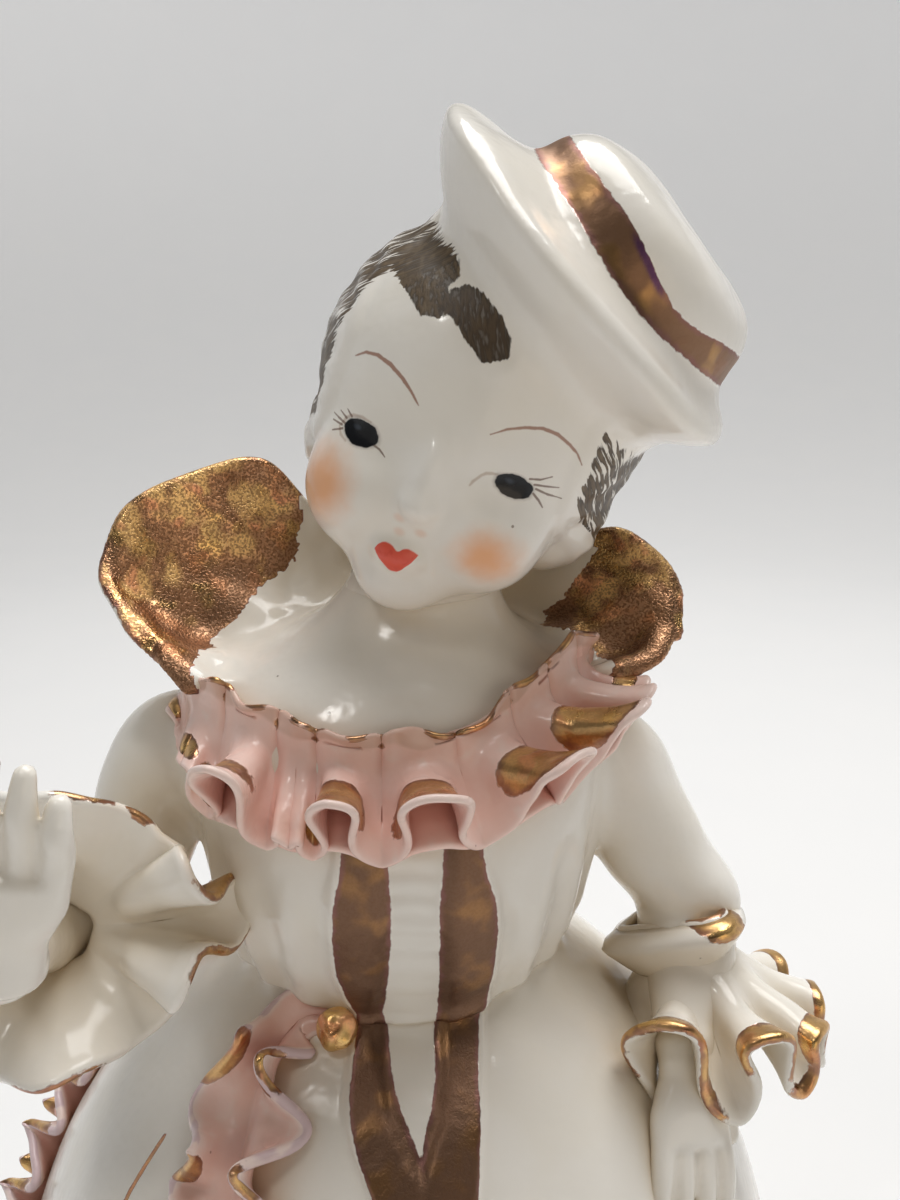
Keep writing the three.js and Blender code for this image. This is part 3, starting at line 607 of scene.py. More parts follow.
def neck_surface(s, t, swell=1.0, tuck=0.0):
    heading, hem = curve(NECK_HEADING, s), curve(NECK_HEM, s)
    out = unit((hem - heading) * (1, 1, 0))
    sideways = np.cross(out, (0, 0, 1.0))
    down = np.maximum((t - LIP) / (1 - LIP), 0)
    above = np.maximum(1 - t / LIP, 0)
    wave, lean = arches(s, *NECK_ARCHES, 0.72)
    flare = down ** 2.0 * swell
    pleat = sum(np.exp(-((s - place) * NECK_LENGTH / 0.5) ** 2) for place in NECK_PLEATS)
    hollow = -1.2 * np.sin(math.pi * np.minimum(down * 1.3, 1)) - 0.45 * pleat * (1 - smoothstep(down, 0.05, 0.5))
    lip_height = 1.0 + 0.7 * wobble(heading, 5.5, 51) - 0.4 * pleat
    p = lerp(heading, hem, down[..., None])
    proud = 5.6 * wave * flare - 0.9 * flare - 0.3 + hollow - tuck
    p = p + out * (proud + (0.35 + 0.5 * wobble(heading, 4, 54)) * above)[..., None]
    p = p - sideways * (1.15 * lean * down ** 2.2 * swell)[..., None]
    p[..., 2] += 8.6 * wave * flare + above * lip_height
    return p + out * (0.18 * wobble(p, 4, 52))[..., None]


def neck_lining(s, t):
    """The clay at the back of the arches, nearly flat against the bodice."""
    return neck_surface(s, 0.35 + 0.62 * t, 0.2, 0.9)


SWAG_LINE = [  # turn round the skirt, z
    (-0.42, 96.4), (-0.56, 96.2), (-0.69, 94.6), (-0.715, 91.5), (-0.67, 88), (-0.63, 84), (-0.66, 76), (-0.74, 66),
    (-0.9, 54), (-1.26, 43), (-1.6, 53), (-1.8, 68), (-1.92, 80), (-2.06, 90), (-2.2, 96.4)]
SWAG_WAVES, SWAG_FIRST, SWAG_HALF, SWAG_RISE = 17.5, 0.038, 6.2, 4.6
SWAG_LENGTH, SWAG_WIDTH = 142, 10


def swag_surface(s, t):
    across = 2 * t - 1
    line, ahead, behind = (np.moveaxis(even_curve(SWAG_LINE, share), -1, 0)
                           for share in (s, np.minimum(s + 0.01, 1), np.maximum(s - 0.01, 0)))
    middle, normal = dress_point(*line, 0.2), dress_normal(*line)
    along = unit(dress_point(*ahead) - dress_point(*behind))
    side = unit(np.cross(along, normal))
    ends = smoothstep(s, 0, 0.02) * (1 - smoothstep(s, 0.98, 1))
    phase = (s - SWAG_FIRST) * SWAG_WAVES + 0.10 * np.sin(9 * s) + np.where(across > 0, 0.05, -0.08)
    wave, lean = 0.5 + 0.5 * np.cos(TAU * phase), np.sin(TAU * phase)
    far = np.abs(across)
    rise = (0.25 * far + far ** 1.7 * SWAG_RISE * wave) * ends - 0.35 * np.exp(-(far / 0.16) ** 2)
    narrow = 1 - 0.42 * (1 - smoothstep(s, 0.03, 0.06))
    slim = 1 - (1 - wave) ** 1.6
    reach = across * SWAG_HALF * (0.55 + 0.45 * ends) * narrow * (1 - 0.62 * slim * far ** 0.6)
    p = middle + side * reach[..., None] + normal * rise[..., None]
    p = p - along * (0.55 * lean * far ** 2.2 * ends)[..., None]
    return p + normal * (0.2 * wobble(p, 4, 53))[..., None]


# Of each cuff: the wrist's ring and the axis that points at the hand, the flare and reach of the hem,
# the heading above the wrist with its ruff and lobes, and the hem's arches with how far each stands out.
CUFFS = [
    dict(centre=(-33.4, -9.0, 104.8), axis=(-0.06, -0.93, 0.36), ring=3.7, reach=9.5, flare=9.0, heading=1.6,
         ruff=0.4, shut=0, lobes=[(0.45, 0.06, 1.5), (0.2, 0.06, 1.5)], depth=1.4, lift=7.4, lean=0.09, seed=61,
         places=[-0.15, 0.0, 0.14, 0.385, 0.487, 0.60, 0.85, 1.0, 1.14],
         strengths=[0.5, 0.9, 0.5, 0.5, 1.15, 0.8, 0.5, 0.9, 0.5],
         extra=[-2, -3, 0.2, 0.4, 3.4, -1.6, -2, -3, 0.2]),
    dict(centre=(30.8, -5.4, 93.0), axis=(0.22, -0.36, -0.9), ring=5.3, reach=13.2, flare=5.0, heading=4.6,
         ruff=2.5, shut=1.15, lobes=[(0.22, 0.06, 3.2), (0.62, 0.06, 1.0), (0.92, 0.05, 1.3)], depth=3.4, lift=9.0,
         lean=0.10, seed=62,
         places=[-0.12, 0.078, 0.19, 0.285, 0.385, 0.50, 0.63, 0.76, 0.89, 1.08],
         strengths=[0.9, 1.32, 0.85, 0.55, 0.7, 0.9, 0.9, 0.9, 0.9, 1.4],
         extra=[0, 0.6, 0.8, 1.4, 0, 0, 0, 0, 0, 0.6])]
CUFF_MIDDLE = 0.32
CUFF_WIDTH, CUFF_HEM_LENGTH, CUFF_TOP_LENGTH = 17, 62, 40


def cuff_surface(spec):
    axis = unit(np.array(spec["axis"], float))
    side = unit(np.cross(axis, (0, 0, 1.0)))
    up = unit(np.cross(side, axis))

    def surface(s, t):
        s = np.mod(s, 1)
        below = np.maximum((t - CUFF_MIDDLE) / (1 - CUFF_MIDDLE), 0)
        above = np.maximum(1 - t / CUFF_MIDDLE, 0)
        wave, lean = arches(s, spec["places"], spec["strengths"], 0.8)
        extra = np.interp(s, spec["places"], spec["extra"])
        turn = TAU * s + spec["lean"] * lean * below ** 2.2
        out = side * np.cos(turn)[..., None] + up * np.sin(turn)[..., None]
        lobes = sum(size * np.exp(-((np.mod(s - place + 0.5, 1) - 0.5) / wide) ** 2)
                    for place, wide, size in spec["lobes"])
        ruff = spec["ruff"] * (1 - spec["shut"] * smoothstep(above, 0.72, 1.0)) + lobes
        radius = (spec["ring"] + (spec["flare"] + extra) * below ** 1.15 + wave * spec["depth"] * below ** 1.8
                  + ruff * above ** 0.9 - 0.35 * np.exp(-(below / 0.1) ** 2))
        along = spec["reach"] * below - spec["heading"] * above - wave * spec["lift"] * below ** 1.5
        p = np.array(spec["centre"]) + out * radius[..., None] + axis * along[..., None]
        return p + out * (0.3 * wobble(p, 6, spec["seed"]))[..., None]
    return surface


# --- Where paint and gold lie: millimetres inside their edges ---
FAR_OUTSIDE = -9.0


def inside_outline(x, z, outline):
    """Distance inside a closed outline, negative outside."""
    a = np.asarray(outline, float)
    b = np.roll(a, -1, axis=0)
    nearest = np.full(len(x), 1e9)
    odd = np.zeros(len(x), bool)
    for (ax, az), (bx, bz) in zip(a, b):
        dx, dz = bx - ax, bz - az
        share = np.clip(((x - ax) * dx + (z - az) * dz) / (dx * dx + dz * dz), 0, 1)
        nearest = np.minimum(nearest, np.hypot(x - ax - share * dx, z - az - share * dz))
        if dz:
            odd ^= ((az > z) != (bz > z)) & (x < ax + (z - az) * dx / dz)
    return np.where(odd, nearest, -nearest)


HAIRLINE = np.array([  # z, y of the front edge of the painted hair
    (-14, 6.0), (-9, 2.4), (-6.5, -3.4), (-4.5, -6.6), (-3, -7.2), (0, -7.6), (4, -7.5), (6, -7.1), (9.6, -5.9),
    (12, -4.6), (17, -0.5)])
FRINGE = [
    [(-12.6, 10.6), (-10.2, 14.6), (-8.4, 15.6), (-6.45, 14.05), (-4.45, 12.28), (-3.79, 10.93), (-4.26, 9.99),
     (-3.79, 8.22), (-3.67, 7.37), (-5.66, 6.92), (-7.82, 8.24), (-9.67, 9.08), (-11.4, 9.7)],
    [(-4.14, 9.77), (-2.98, 10.69), (-1.63, 10.64), (-0.05, 9.92), (1.25, 9.10), (2.53, 7.77), (2.93, 6.26),
     (0.87, 5.17), (-0.08, 5.85), (-1.59, 6.84), (-2.81, 7.68), (-3.98, 8.03)]]


def hair_inside(q):
    """Distance inside the painted hair for points of the head's own frame, and in the dark lock."""
    x, y, z = q.T
    back = (y - np.interp(z, HAIRLINE[:, 0], HAIRLINE[:, 1])) * 0.9 + 1.3 * smoothstep(x, 5, 10)
    back = np.minimum(back, z + 13.5)
    locks = [np.minimum(inside_outline(x, z, outline), -y) for outline in FRINGE]
    return np.maximum(back, np.maximum(*locks)), locks[1]


def hat_band_inside(p):
    h, r, a = hat_place(p)
    low = 3.5 - 0.9 * np.exp(-((a + 1.25) / 0.55) ** 2)
    high = 6.5 - 1.5 * np.exp(-((a + 1.05) / 0.4) ** 2)
    streak = np.exp(-((high - h - 0.3) / 0.4) ** 2) * smoothstep(a, -1.7, -1.5) * (1 - smoothstep(a, -1.3, -1.1))
    return np.minimum(np.minimum(h - low, high - h), r - 9), streak


SKIRT_STROKE = [(-1.03, 85.0), (-1.045, 80.5), (-1.04, 76), (-1.08, 70), (-1.16, 64), (-1.3, 58)]

COLLAR_GOLD = [  # share along the collar, how far up the gold begins
    [(-0.05, 0.8), (0.0, 0.79), (0.05, 0.55), (0.103, 0.375), (0.233, 0.355), (0.261, 0.40), (0.324, 0.51),
     (0.373, 0.605), (0.399, 0.795), (0.41, 1.1)],
    [(0.69, 1.1), (0.698, 0.6), (0.703, 0.395), (0.796, 0.21), (0.842, 0.30), (0.92, 0.42), (1.0, 0.79),
     (1.05, 0.8)]]


def tree_of(points):
    tree = KDTree(len(points))
    for i, p in enumerate(points):
        tree.insert(p, i)
    tree.balance()
    return tree


def collar_gold_inside(points):
    """Distance inside the gold on the inner faces of the collar wings."""
    S, T = (g.ravel() for g in np.meshgrid(np.linspace(0, 1, 161), np.linspace(0, 1, 61), indexing="ij"))
    middle, inward = collar_sheet(S, T)
    covered = np.zeros(len(S), bool)
    edge = []
    for line in COLLAR_GOLD:
        places, ups = np.array(line).T
        covered |= (S > places[0]) & (S < places[-1]) & (T > np.interp(S, places, ups))
        dense = np.linspace(0, len(places) - 1, 240)
        share, up = (np.interp(dense, np.arange(len(places)), values) for values in (places, ups))
        keep = (up < 1) & (share > 0) & (share < 1)
        edge.append(collar_sheet(share[keep], up[keep])[0])
    surface, border = tree_of(middle), tree_of(np.vstack(edge))
    inside = np.full(len(points), FAR_OUTSIDE)
    near = np.nonzero((points[:, 2] > 125.5) & (np.hypot(points[:, 0], points[:, 1]) > 8))[0]
    for i in near:
        _, index, distance = surface.find(points[i])
        if distance < 2.2:
            offset = float(np.dot(points[i] - middle[index], inward[index]))
            gap = border.find(points[i])[2]
            inside[i] = min(gap if covered[index] else -gap, offset + 0.65)
    return inside


def patches(s, t, along, across, spots, end=1.0):
    """Distance inside rounded patches (place, half length, depth) on an edge of a strip."""
    inside = np.full(np.shape(s), FAR_OUTSIDE)
    for place, half, depth in spots:
        gap = np.abs(s - place)
        gap = np.minimum(gap, 1 - gap)
        size = np.hypot(gap * along / half, np.abs(t - end) * across / depth)
        inside = np.maximum(inside, (1 - size) * min(half, depth))
    return inside


# --- Materials ---
class Wire:
    """An output of a node. Arithmetic on it adds nodes to the same material."""

    def __init__(self, paint, socket):
        self.paint, self.socket = paint, socket

    def math(self, operation, *others, clamp=False):
        node = self.paint.node("Math")
        node.operation, node.use_clamp = operation, clamp
        for socket, value in zip(node.inputs, (self, *others)):
            self.paint.feed(socket, value)
        return Wire(self.paint, node.outputs[0])

    def vector(self, operation, *others, scale=None, output=0):
        node = self.paint.node("VectorMath")
        node.operation = operation
        for socket, value in zip(node.inputs, (self, *others)):
            self.paint.feed(socket, value)
        if scale is not None:
            self.paint.feed(node.inputs["Scale"], scale)
        return Wire(self.paint, node.outputs[output])

    def dot(self, other):
        return self.vector("DOT_PRODUCT", other, output=1)

    def __add__(self, other):
        return self.math("ADD", other)

    def __sub__(self, other):
        return self.math("SUBTRACT", other)

    def __mul__(self, other):
        return self.math("MULTIPLY", other)

    def __rsub__(self, other):
        return (self * -1) + other

    def min(self, other):
        return self.math("MINIMUM", other)

    def step(self, low, high):
        """0 at low and 1 at high, smoothly, and the same beyond them. low may be the greater one."""
        node = self.paint.node("MapRange")
        node.interpolation_type = "SMOOTHSTEP"
        start, end = (0, 1) if low < high else (1, 0)
        limits = {"From Min": min(low, high), "From Max": max(low, high), "To Min": start, "To Max": end}
        for name, value in limits.items():
            node.inputs[name].default_value = value
        self.paint.feed(node.inputs[0], self)
        return Wire(self.paint, node.outputs[0])


class Paint:
    """A material made of nodes that work in millimetres."""

    def __init__(self, name):
        self.material = bpy.data.materials.new(name)
        self.material.use_nodes = True
        self.tree = self.material.node_tree
        self.shader = self.tree.nodes["Principled BSDF"]
        place = Wire(self, self.node("TexCoord").outputs["Object"])
        self.place = place.vector("SCALE", scale=1 / MM)

    def node(self, kind):
        return self.tree.nodes.new("ShaderNode" + kind)

    def feed(self, socket, value):
        if isinstance(value, Wire):
            self.tree.links.new(value.socket, socket)
        elif hasattr(socket.default_value, "__len__") and len(socket.default_value) == 4:
            socket.default_value = (*value, 1)
        else:
            socket.default_value = value

    def noise(self, size, detail, place=None):
        """Noise from 0 to 1 about 0.5, with features of size millimetres."""
        node = self.node("TexNoise")
        self.feed(node.inputs["Vector"], place or self.place)
        node.inputs["Scale"].default_value = 1 / size
        node.inputs["Detail"].default_value = detail
        return Wire(self, node.outputs[0])

    def specks(self, size, share):
        """1 in small round specks, of which only a share of the cells has one."""
        node = self.node("TexVoronoi")
        self.feed(node.inputs["Vector"], self.place)
        node.inputs["Scale"].default_value = 1 / size
        colour = self.node("SeparateColor")
        self.tree.links.new(node.outputs["Color"], colour.inputs[0])
        chosen = Wire(self, colour.outputs[0]).step(share, share - 0.001)
        radius = Wire(self, colour.outputs[1]) * 0.022
        return chosen * (Wire(self, node.outputs["Distance"]) - radius).step(0.026, 0.012)

    def blend(self, share, a, b):
        node = self.node("Mix")
        node.data_type = "RGBA"
        self.feed(node.inputs[0], share)
        self.feed(node.inputs[6], a)
        self.feed(node.inputs[7], b)
        return Wire(self, node.outputs[2])

    def attribute(self, name):
        node = self.node("Attribute")
        node.attribute_name = name
        return node

    def value(self, name):
        return Wire(self, self.attribute(name).outputs["Fac"])

    def parts(self, vector):
        node = self.node("SeparateXYZ")
        self.feed(node.inputs[0], vector)
        return [Wire(self, output) for output in node.outputs]

    def joined(self, x, y, z):
        node = self.node("CombineXYZ")
        for socket, value in zip(node.inputs, (x, y, z)):
            self.feed(socket, value)
        return Wire(self, node.outputs[0])

    def mapped(self, vector, place, rotation, scale):
        """The vector in a frame at place, turned and scaled."""
        node = self.node("Mapping")
        node.vector_type = "TEXTURE"
        self.feed(node.inputs["Vector"], vector)
        for name, value in (("Location", place), ("Rotation", rotation), ("Scale", scale)):
            node.inputs[name].default_value = value
        return Wire(self, node.outputs[0])

    def openness(self, reach):
        """1 in the open, less in hollows."""
        node = self.node("AmbientOcclusion")
        node.samples = 1
        node.inputs["Distance"].default_value = reach * MM
        return Wire(self, node.outputs["AO"])

    def finish(self, colour, metal, roughness, height):
        self.feed(self.shader.inputs["Base Color"], colour)
        self.feed(self.shader.inputs["Metallic"], metal)
        self.feed(self.shader.inputs["Roughness"], roughness)
        bump = self.node("Bump")
        bump.inputs["Distance"].default_value = MM
        self.feed(bump.inputs["Height"], height)
        self.tree.links.new(bump.outputs[0], self.shader.inputs["Normal"])
        self.shader.inputs["IOR"].default_value = 1.42
        return self.material


def white_glaze(paint):
    """Colour, roughness and height of clear glaze over white porcelain, warmer and darker in hollows: partly pooled
    glaze, partly painted shade.
    """
    unshaded_openness = paint.openness(11)
    cloud = paint.noise(8, 2)
    # Painted shade: the colour turns warm, then dark brown-yellow, where ambient occlusion finds a hollow.
    colour = paint.blend(unshaded_openness.step(0.55, 1.0), (0.80, 0.72, 0.58), (0.865, 0.845, 0.80))
    colour = paint.blend(unshaded_openness.step(0.75, 0.15), colour, (0.66, 0.54, 0.37))
    colour = paint.blend(cloud.step(0.4, 0.7) * 0.35, colour, (0.82, 0.78, 0.69))
    colour = paint.blend(paint.specks(4.2, 0.3) * 0.7, colour, (0.14, 0.09, 0.05))
    height = paint.noise(3.4, 2) * 0.13 + paint.noise(0.8, 0) * 0.012
    roughness = cloud.step(0.3, 0.8) * 0.10 + 0.12
    return colour, roughness, height


def pink_glaze(paint):
    """Pink glaze, deeper pink in hollows as painted shade and paler in patches only in the open as painted light, pale
    where rim is near 1 with violet at the very edge, and brown where rim is below 0.
    """
    unshaded_openness = paint.openness(5)
    cloud = paint.noise(4, 2)
    colour = paint.blend(cloud.step(0.3, 0.75), (0.90, 0.68, 0.62), (0.87, 0.60, 0.53))
    # Painted shade in hollows, and pale patches of painted light only where the glaze lies open.
    colour = paint.blend(unshaded_openness.step(0.72, 0.1), colour, (0.72, 0.38, 0.31))
    colour = paint.blend(paint.noise(1.7, 2).step(0.55, 0.75) * unshaded_openness * 0.45, colour, (0.88, 0.76, 0.70))
    rim = paint.value("rim")
    colour = paint.blend(rim.step(-0.1, -0.7) * 0.55, colour, (0.58, 0.38, 0.29))
    colour = paint.blend(rim.math("MULTIPLY", 0.8, clamp=True), colour, (0.87, 0.77, 0.735))
    colour = paint.blend(rim.step(0.80, 0.97) * 0.4, colour, (0.42, 0.24, 0.36))
    colour = paint.blend(paint.specks(3.4, 0.3) * 0.6, colour, (0.34, 0.14, 0.12))
    height = paint.noise(2.4, 2) * 0.10 + paint.noise(0.6, 0) * 0.02
    roughness = cloud.step(0.3, 0.8) * 0.14 + 0.16
    return colour, roughness, height


def gold_lustre(paint, inside, grain, dull_and_shaded, golden, painted_shine):
    """Colour, roughness, height and metal of fired gold, thin and violet where its edge is near, with painted
    highlights as bright, less metallic patches, and darkened towards brown, partly as a matte finish and partly as
    painted shade.
    """
    rich = paint.noise(3.6, 2).step(0.50, 0.68)
    colour = paint.blend(rich * 0.8 + golden, (0.50, 0.275, 0.155), (0.88, 0.58, 0.22))
    ruddy = paint.noise(2.6, 1).step(0.54, 0.70)
    colour = paint.blend(ruddy * 0.6, colour, (0.76, 0.34, 0.16))
    # Painted highlight: bright yellow and orange, less metallic gold in patches.
    colour = paint.blend(painted_shine, colour, paint.blend(ruddy, (1.0, 0.63, 0.25), (1.0, 0.46, 0.23)))
    # Darker brown, partly a matte finish and partly painted shade and dark reflection.
    colour = paint.blend(dull_and_shaded, colour, paint.blend(rich * 0.55, (0.205, 0.12, 0.078), (0.38, 0.20, 0.08)))
    dust = paint.noise(0.26, 1).step(0.38, 0.58)
    colour = paint.blend((1 - dust) * grain, colour, (0.16, 0.08, 0.04))
    edge = (inside + (paint.noise(1.1, 1) - 0.5) * 0.8).step(0.6, 0.05)
    colour = paint.blend(edge * 0.7, colour, (0.26, 0.125, 0.12))
    roughness = rich * -0.10 + 0.27 + dull_and_shaded * 0.20 + (1 - dust) * grain * 0.2
    height = paint.noise(1.8, 1) * 0.12 + dust * grain * 0.05 + ruddy * (1 - dull_and_shaded) * 0.07
    return colour, roughness, height, 1 - painted_shine * 0.7


def gilt(paint, clay, inside, grain, dull_and_shaded, golden, painted_shine=0.0):
    """Clay with gold wherever inside, in millimetres from the gold's edge, is above 0."""
    ragged = inside + (paint.noise(0.8, 2) - 0.5) * 0.4
    share = ragged.step(-0.05, 0.08)
    # Patches of painted highlight.
    painted_shine = paint.noise(3.2, 1).step(0.42, 0.58) * painted_shine
    gold = gold_lustre(paint, ragged, grain, dull_and_shaded, golden, painted_shine)
    colour = paint.blend(share, clay[0], gold[0])
    roughness = clay[1] + (gold[1] - clay[1]) * share
    height = clay[2] + (gold[2] - clay[2]) * share + share * 0.02
    return colour, share * gold[3], roughness, height


def make_gilt_porcelain(name, glaze, graded=False, golden=0.0, painted_shine=0.35):
    """Where it is graded, the gold below the neck is matte and darker, partly as its finish and partly as painted
    shade and dark reflection, and the gold above it is bright and dusty, with painted highlights that grow towards the
    collar wings' outer edges and painted shade, darker and more matte, towards their inner parts.
    """
    paint = Paint(name)
    grain, dull_and_shaded = 0.12, paint.noise(5, 1) * 0.3
    if graded:
        x, _, z = paint.parts(paint.place)
        above = z.step(123, 127)
        outer = (x.math("ABSOLUTE") - 18) * 0.6 + (z - 136) * 0.8
        grain = above * 0.5 + 0.15
        # Painted shade and dark reflection: darker, more matte gold below the neck and on the inner parts of the
        # collar wings.
        dull_and_shaded = (1 - above) * (1 - x.step(-17, -21) * z.step(92, 88)) + above * outer.step(3, -6) * 0.55
        # Painted highlights grow towards the outer edges of the collar wings.
        painted_shine = (outer * 0.11 + (paint.noise(6, 1) - 0.5) * 3.4 + 0.1).step(0.1, 0.7) * above
    colour, metal, roughness, height = gilt(paint, glaze(paint), paint.value("gold"), grain, dull_and_shaded, golden, painted_shine)
    return paint.finish(colour, metal, roughness, height)


# The painted face, in the head's own frame seen from the front: (x, z) in millimetres.
EYES = [  # x, z, half width, half height, tilt
    (-7.16, -3.97, 1.87, 1.15, 0), (6.96, -3.62, 1.73, 1.0, -7)]
BROWS = [  # half thickness at the ends and in the middle, points
    (0.05, 0.17, [(-10.36, 1.67), (-9.39, 2.38), (-8.10, 2.62), (-6.68, 2.39), (-5.19, 1.79), (-4.0, 1.08),
                  (-2.93, 0.24)]),
    (0.04, 0.14, [(3.63, 0.06), (4.76, 0.87), (6.09, 1.44), (7.52, 1.78), (8.87, 1.63), (10.15, 1.0), (11.04, 0.38),
                  (11.75, -0.47)])]
LASHES = [
    [(-10.65, -3.70), (-9.36, -3.84), (-8.9, -3.9)], [(-9.96, -3.17), (-9.02, -3.42)],
    [(-9.28, -2.72), (-8.57, -3.08)], [(-10.47, -4.23), (-9.28, -4.12)], [(-10.08, -4.98), (-9.06, -4.37)],
    [(-5.68, -4.46), (-5.02, -4.58), (-4.32, -4.95)], [(7.99, -2.64), (8.85, -2.51), (9.71, -2.05)],
    [(8.53, -3.04), (9.67, -2.99), (10.59, -2.91)], [(8.78, -3.38), (9.93, -3.69), (11.14, -3.86)],
    [(8.69, -3.80), (9.35, -4.32), (9.87, -4.88)]]
LIDS = [
    [(3.45, -4.56), (3.60, -4.15), (3.83, -3.84), (4.08, -3.45), (4.39, -3.21), (4.8, -3.08), (5.3, -3.02)],
    [(-9.3, -4.0), (-9.1, -3.4), (-8.5, -2.9), (-7.6, -2.68), (-6.6, -2.75)],
    [(-9.5, -4.3), (-9.0, -4.85), (-8.3, -5.1)]]
LIPS = [(-2.57, -12.77), (-1.97, -11.85), (-1.2, -11.75), (-0.44, -12.06), (0.0, -11.7), (0.53, -11.64),
        (1.34, -11.90)]
LIPS_LOWER = [(-2.57, -12.77), (-1.56, -13.62), (-0.37, -14.15), (0.70, -13.14), (1.34, -11.90)]
MOUTH_LOW, MOUTH_HIGH = -14.5, -11.2
NOSE_SHADES = [(-0.94, -10.5), (-1.3, -9.2), (0.9, -9.9)]
BLUSH = [(-9.2, -9.4, 4.0, 4.6), (6.9, -10.1, 3.7, 3.2)]


def spot_distance(paint, front, x, z, wide, high, tilt=0.0):
    """Distance in the spot's own radii from its middle."""
    q = front.vector("SUBTRACT", (x, z, 0))
    c, s = math.cos(math.radians(tilt)), math.sin(math.radians(tilt))
    u, v = q.dot((c / wide, s / wide, 0)), q.dot((-s / high, c / high, 0))
    return paint.joined(u, v, 0).vector("LENGTH", output=1)


def line_distance(paint, front, points, half):
    """Millimetres outside a line through points, with half its thickness at each."""
    gaps = []
    for (ax, az), (bx, bz), thin, thick in zip(points, points[1:], half, half[1:]):
        dx, dz = bx - ax, bz - az
        length = dx * dx + dz * dz
        q = front.vector("SUBTRACT", (ax, az, 0))
        share = q.dot((dx / length, dz / length, 0)).math("MULTIPLY", 1, clamp=True)
        gone = paint.joined(share, share, share).vector("MULTIPLY", (dx, dz, 0))
        gaps.append(q.vector("SUBTRACT", gone).vector("LENGTH", output=1) - (share * (thick - thin) + thin))
    return functools.reduce(Wire.min, gaps)


def height_curve(paint, x, points, low, high):
    """z of a smooth line through points, at x."""
    node = paint.node("FloatCurve")
    left, right = points[0][0], points[-1][0]
    curve_map = node.mapping.curves[0]
    while len(curve_map.points) < len(points):
        curve_map.points.new(0.5, 0.5)
    for point, (px, pz) in zip(curve_map.points, points):
        point.location = ((px - left) / (right - left), (pz - low) / (high - low))
    node.mapping.update()
    paint.feed(node.inputs["Value"], (x - left) * (1 / (right - left)))
    return Wire(paint, node.outputs[0]) * (high - low) + low


def paint_face(paint, colour, soft, x, y, z):
    """The glaze's colour with the blush, lips, brows, lids, lashes and eyes on the front of the head."""
    front = paint.joined(x, z, 0)
    ahead = y.step(-4, -7)
    for bx, bz, wide, high in BLUSH:
        uneven = (paint.noise(1.5, 2) - 0.5) * 0.3
        glow = (spot_distance(paint, front, bx, bz, wide, high) + uneven).step(1.15, 0.1) * ahead
        colour = paint.blend(glow * 0.85, colour, (0.87, 0.40, 0.16))
    for bx, bz in NOSE_SHADES:
        touch = spot_distance(paint, front, bx, bz, 0.8, 0.6).step(1, 0.2)
        colour = paint.blend(touch * ahead * 0.3, colour, (0.72, 0.36, 0.2))

    top, bottom = (height_curve(paint, x, points, MOUTH_LOW, MOUTH_HIGH) for points in (LIPS, LIPS_LOWER))
    sides = (x - LIPS[0][0]).min(LIPS[-1][0] - x)
    mouth = (top - z).min(z - bottom).min(sides) + soft * 0.12
    colour = paint.blend(mouth.step(-0.06, 0.12) * ahead * 0.96, colour, (0.78, 0.085, 0.045))
    deep = paint.noise(0.8, 2).step(0.5, 0.7) * mouth.step(0.1, 0.5)
    colour = paint.blend(deep * ahead * 0.4, colour, (0.60, 0.05, 0.03))

    for thin, thick, points in BROWS:
        count = len(points)
        half = [thin + (thick - thin) * math.sin(math.pi * k / (count - 1)) ** 0.8 for k in range(count)]
        d = line_distance(paint, front, points, half) + soft * 0.1
        colour = paint.blend(d.step(0.07, -0.05) * ahead * 0.85, colour, (0.33, 0.155, 0.10))
    for points in LIDS:
        d = line_distance(paint, front, points, [0.05] + [0.10] * (len(points) - 2) + [0.05]) + soft * 0.1
        colour = paint.blend(d.step(0.12, -0.06) * ahead * 0.5, colour, (0.40, 0.27, 0.19))
    strokes = []
    for points in LASHES:
        half = [0.04] + [0.09] * (len(points) - 1) if points[0][0] < -7 else [0.08] * (len(points) - 1) + [0.035]
        strokes.append(line_distance(paint, front, points, half))
    lashes = functools.reduce(Wire.min, strokes)
    colour = paint.blend((lashes + soft * 0.07).step(0.06, -0.03) * ahead * 0.8, colour, (0.16, 0.085, 0.055))
    for ex, ez, wide, high, tilt in EYES:
        d = spot_distance(paint, front, ex, ez, wide * 0.97, high, tilt) + (paint.noise(0.9, 2) - 0.5) * 0.32
        colour = paint.blend(d.step(1.22, 1.0) * ahead * 0.35, colour, (0.30, 0.26, 0.24))
        colour = paint.blend(d.step(1.03, 0.93) * ahead, colour, (0.008, 0.009, 0.012))
        shine = spot_distance(paint, front, ex - 0.5, ez + 0.35, 0.5, 0.3, tilt).step(1.2, 0.2)
        colour = paint.blend(shine * ahead * 0.22, colour, (0.14, 0.17, 0.22))
    return colour


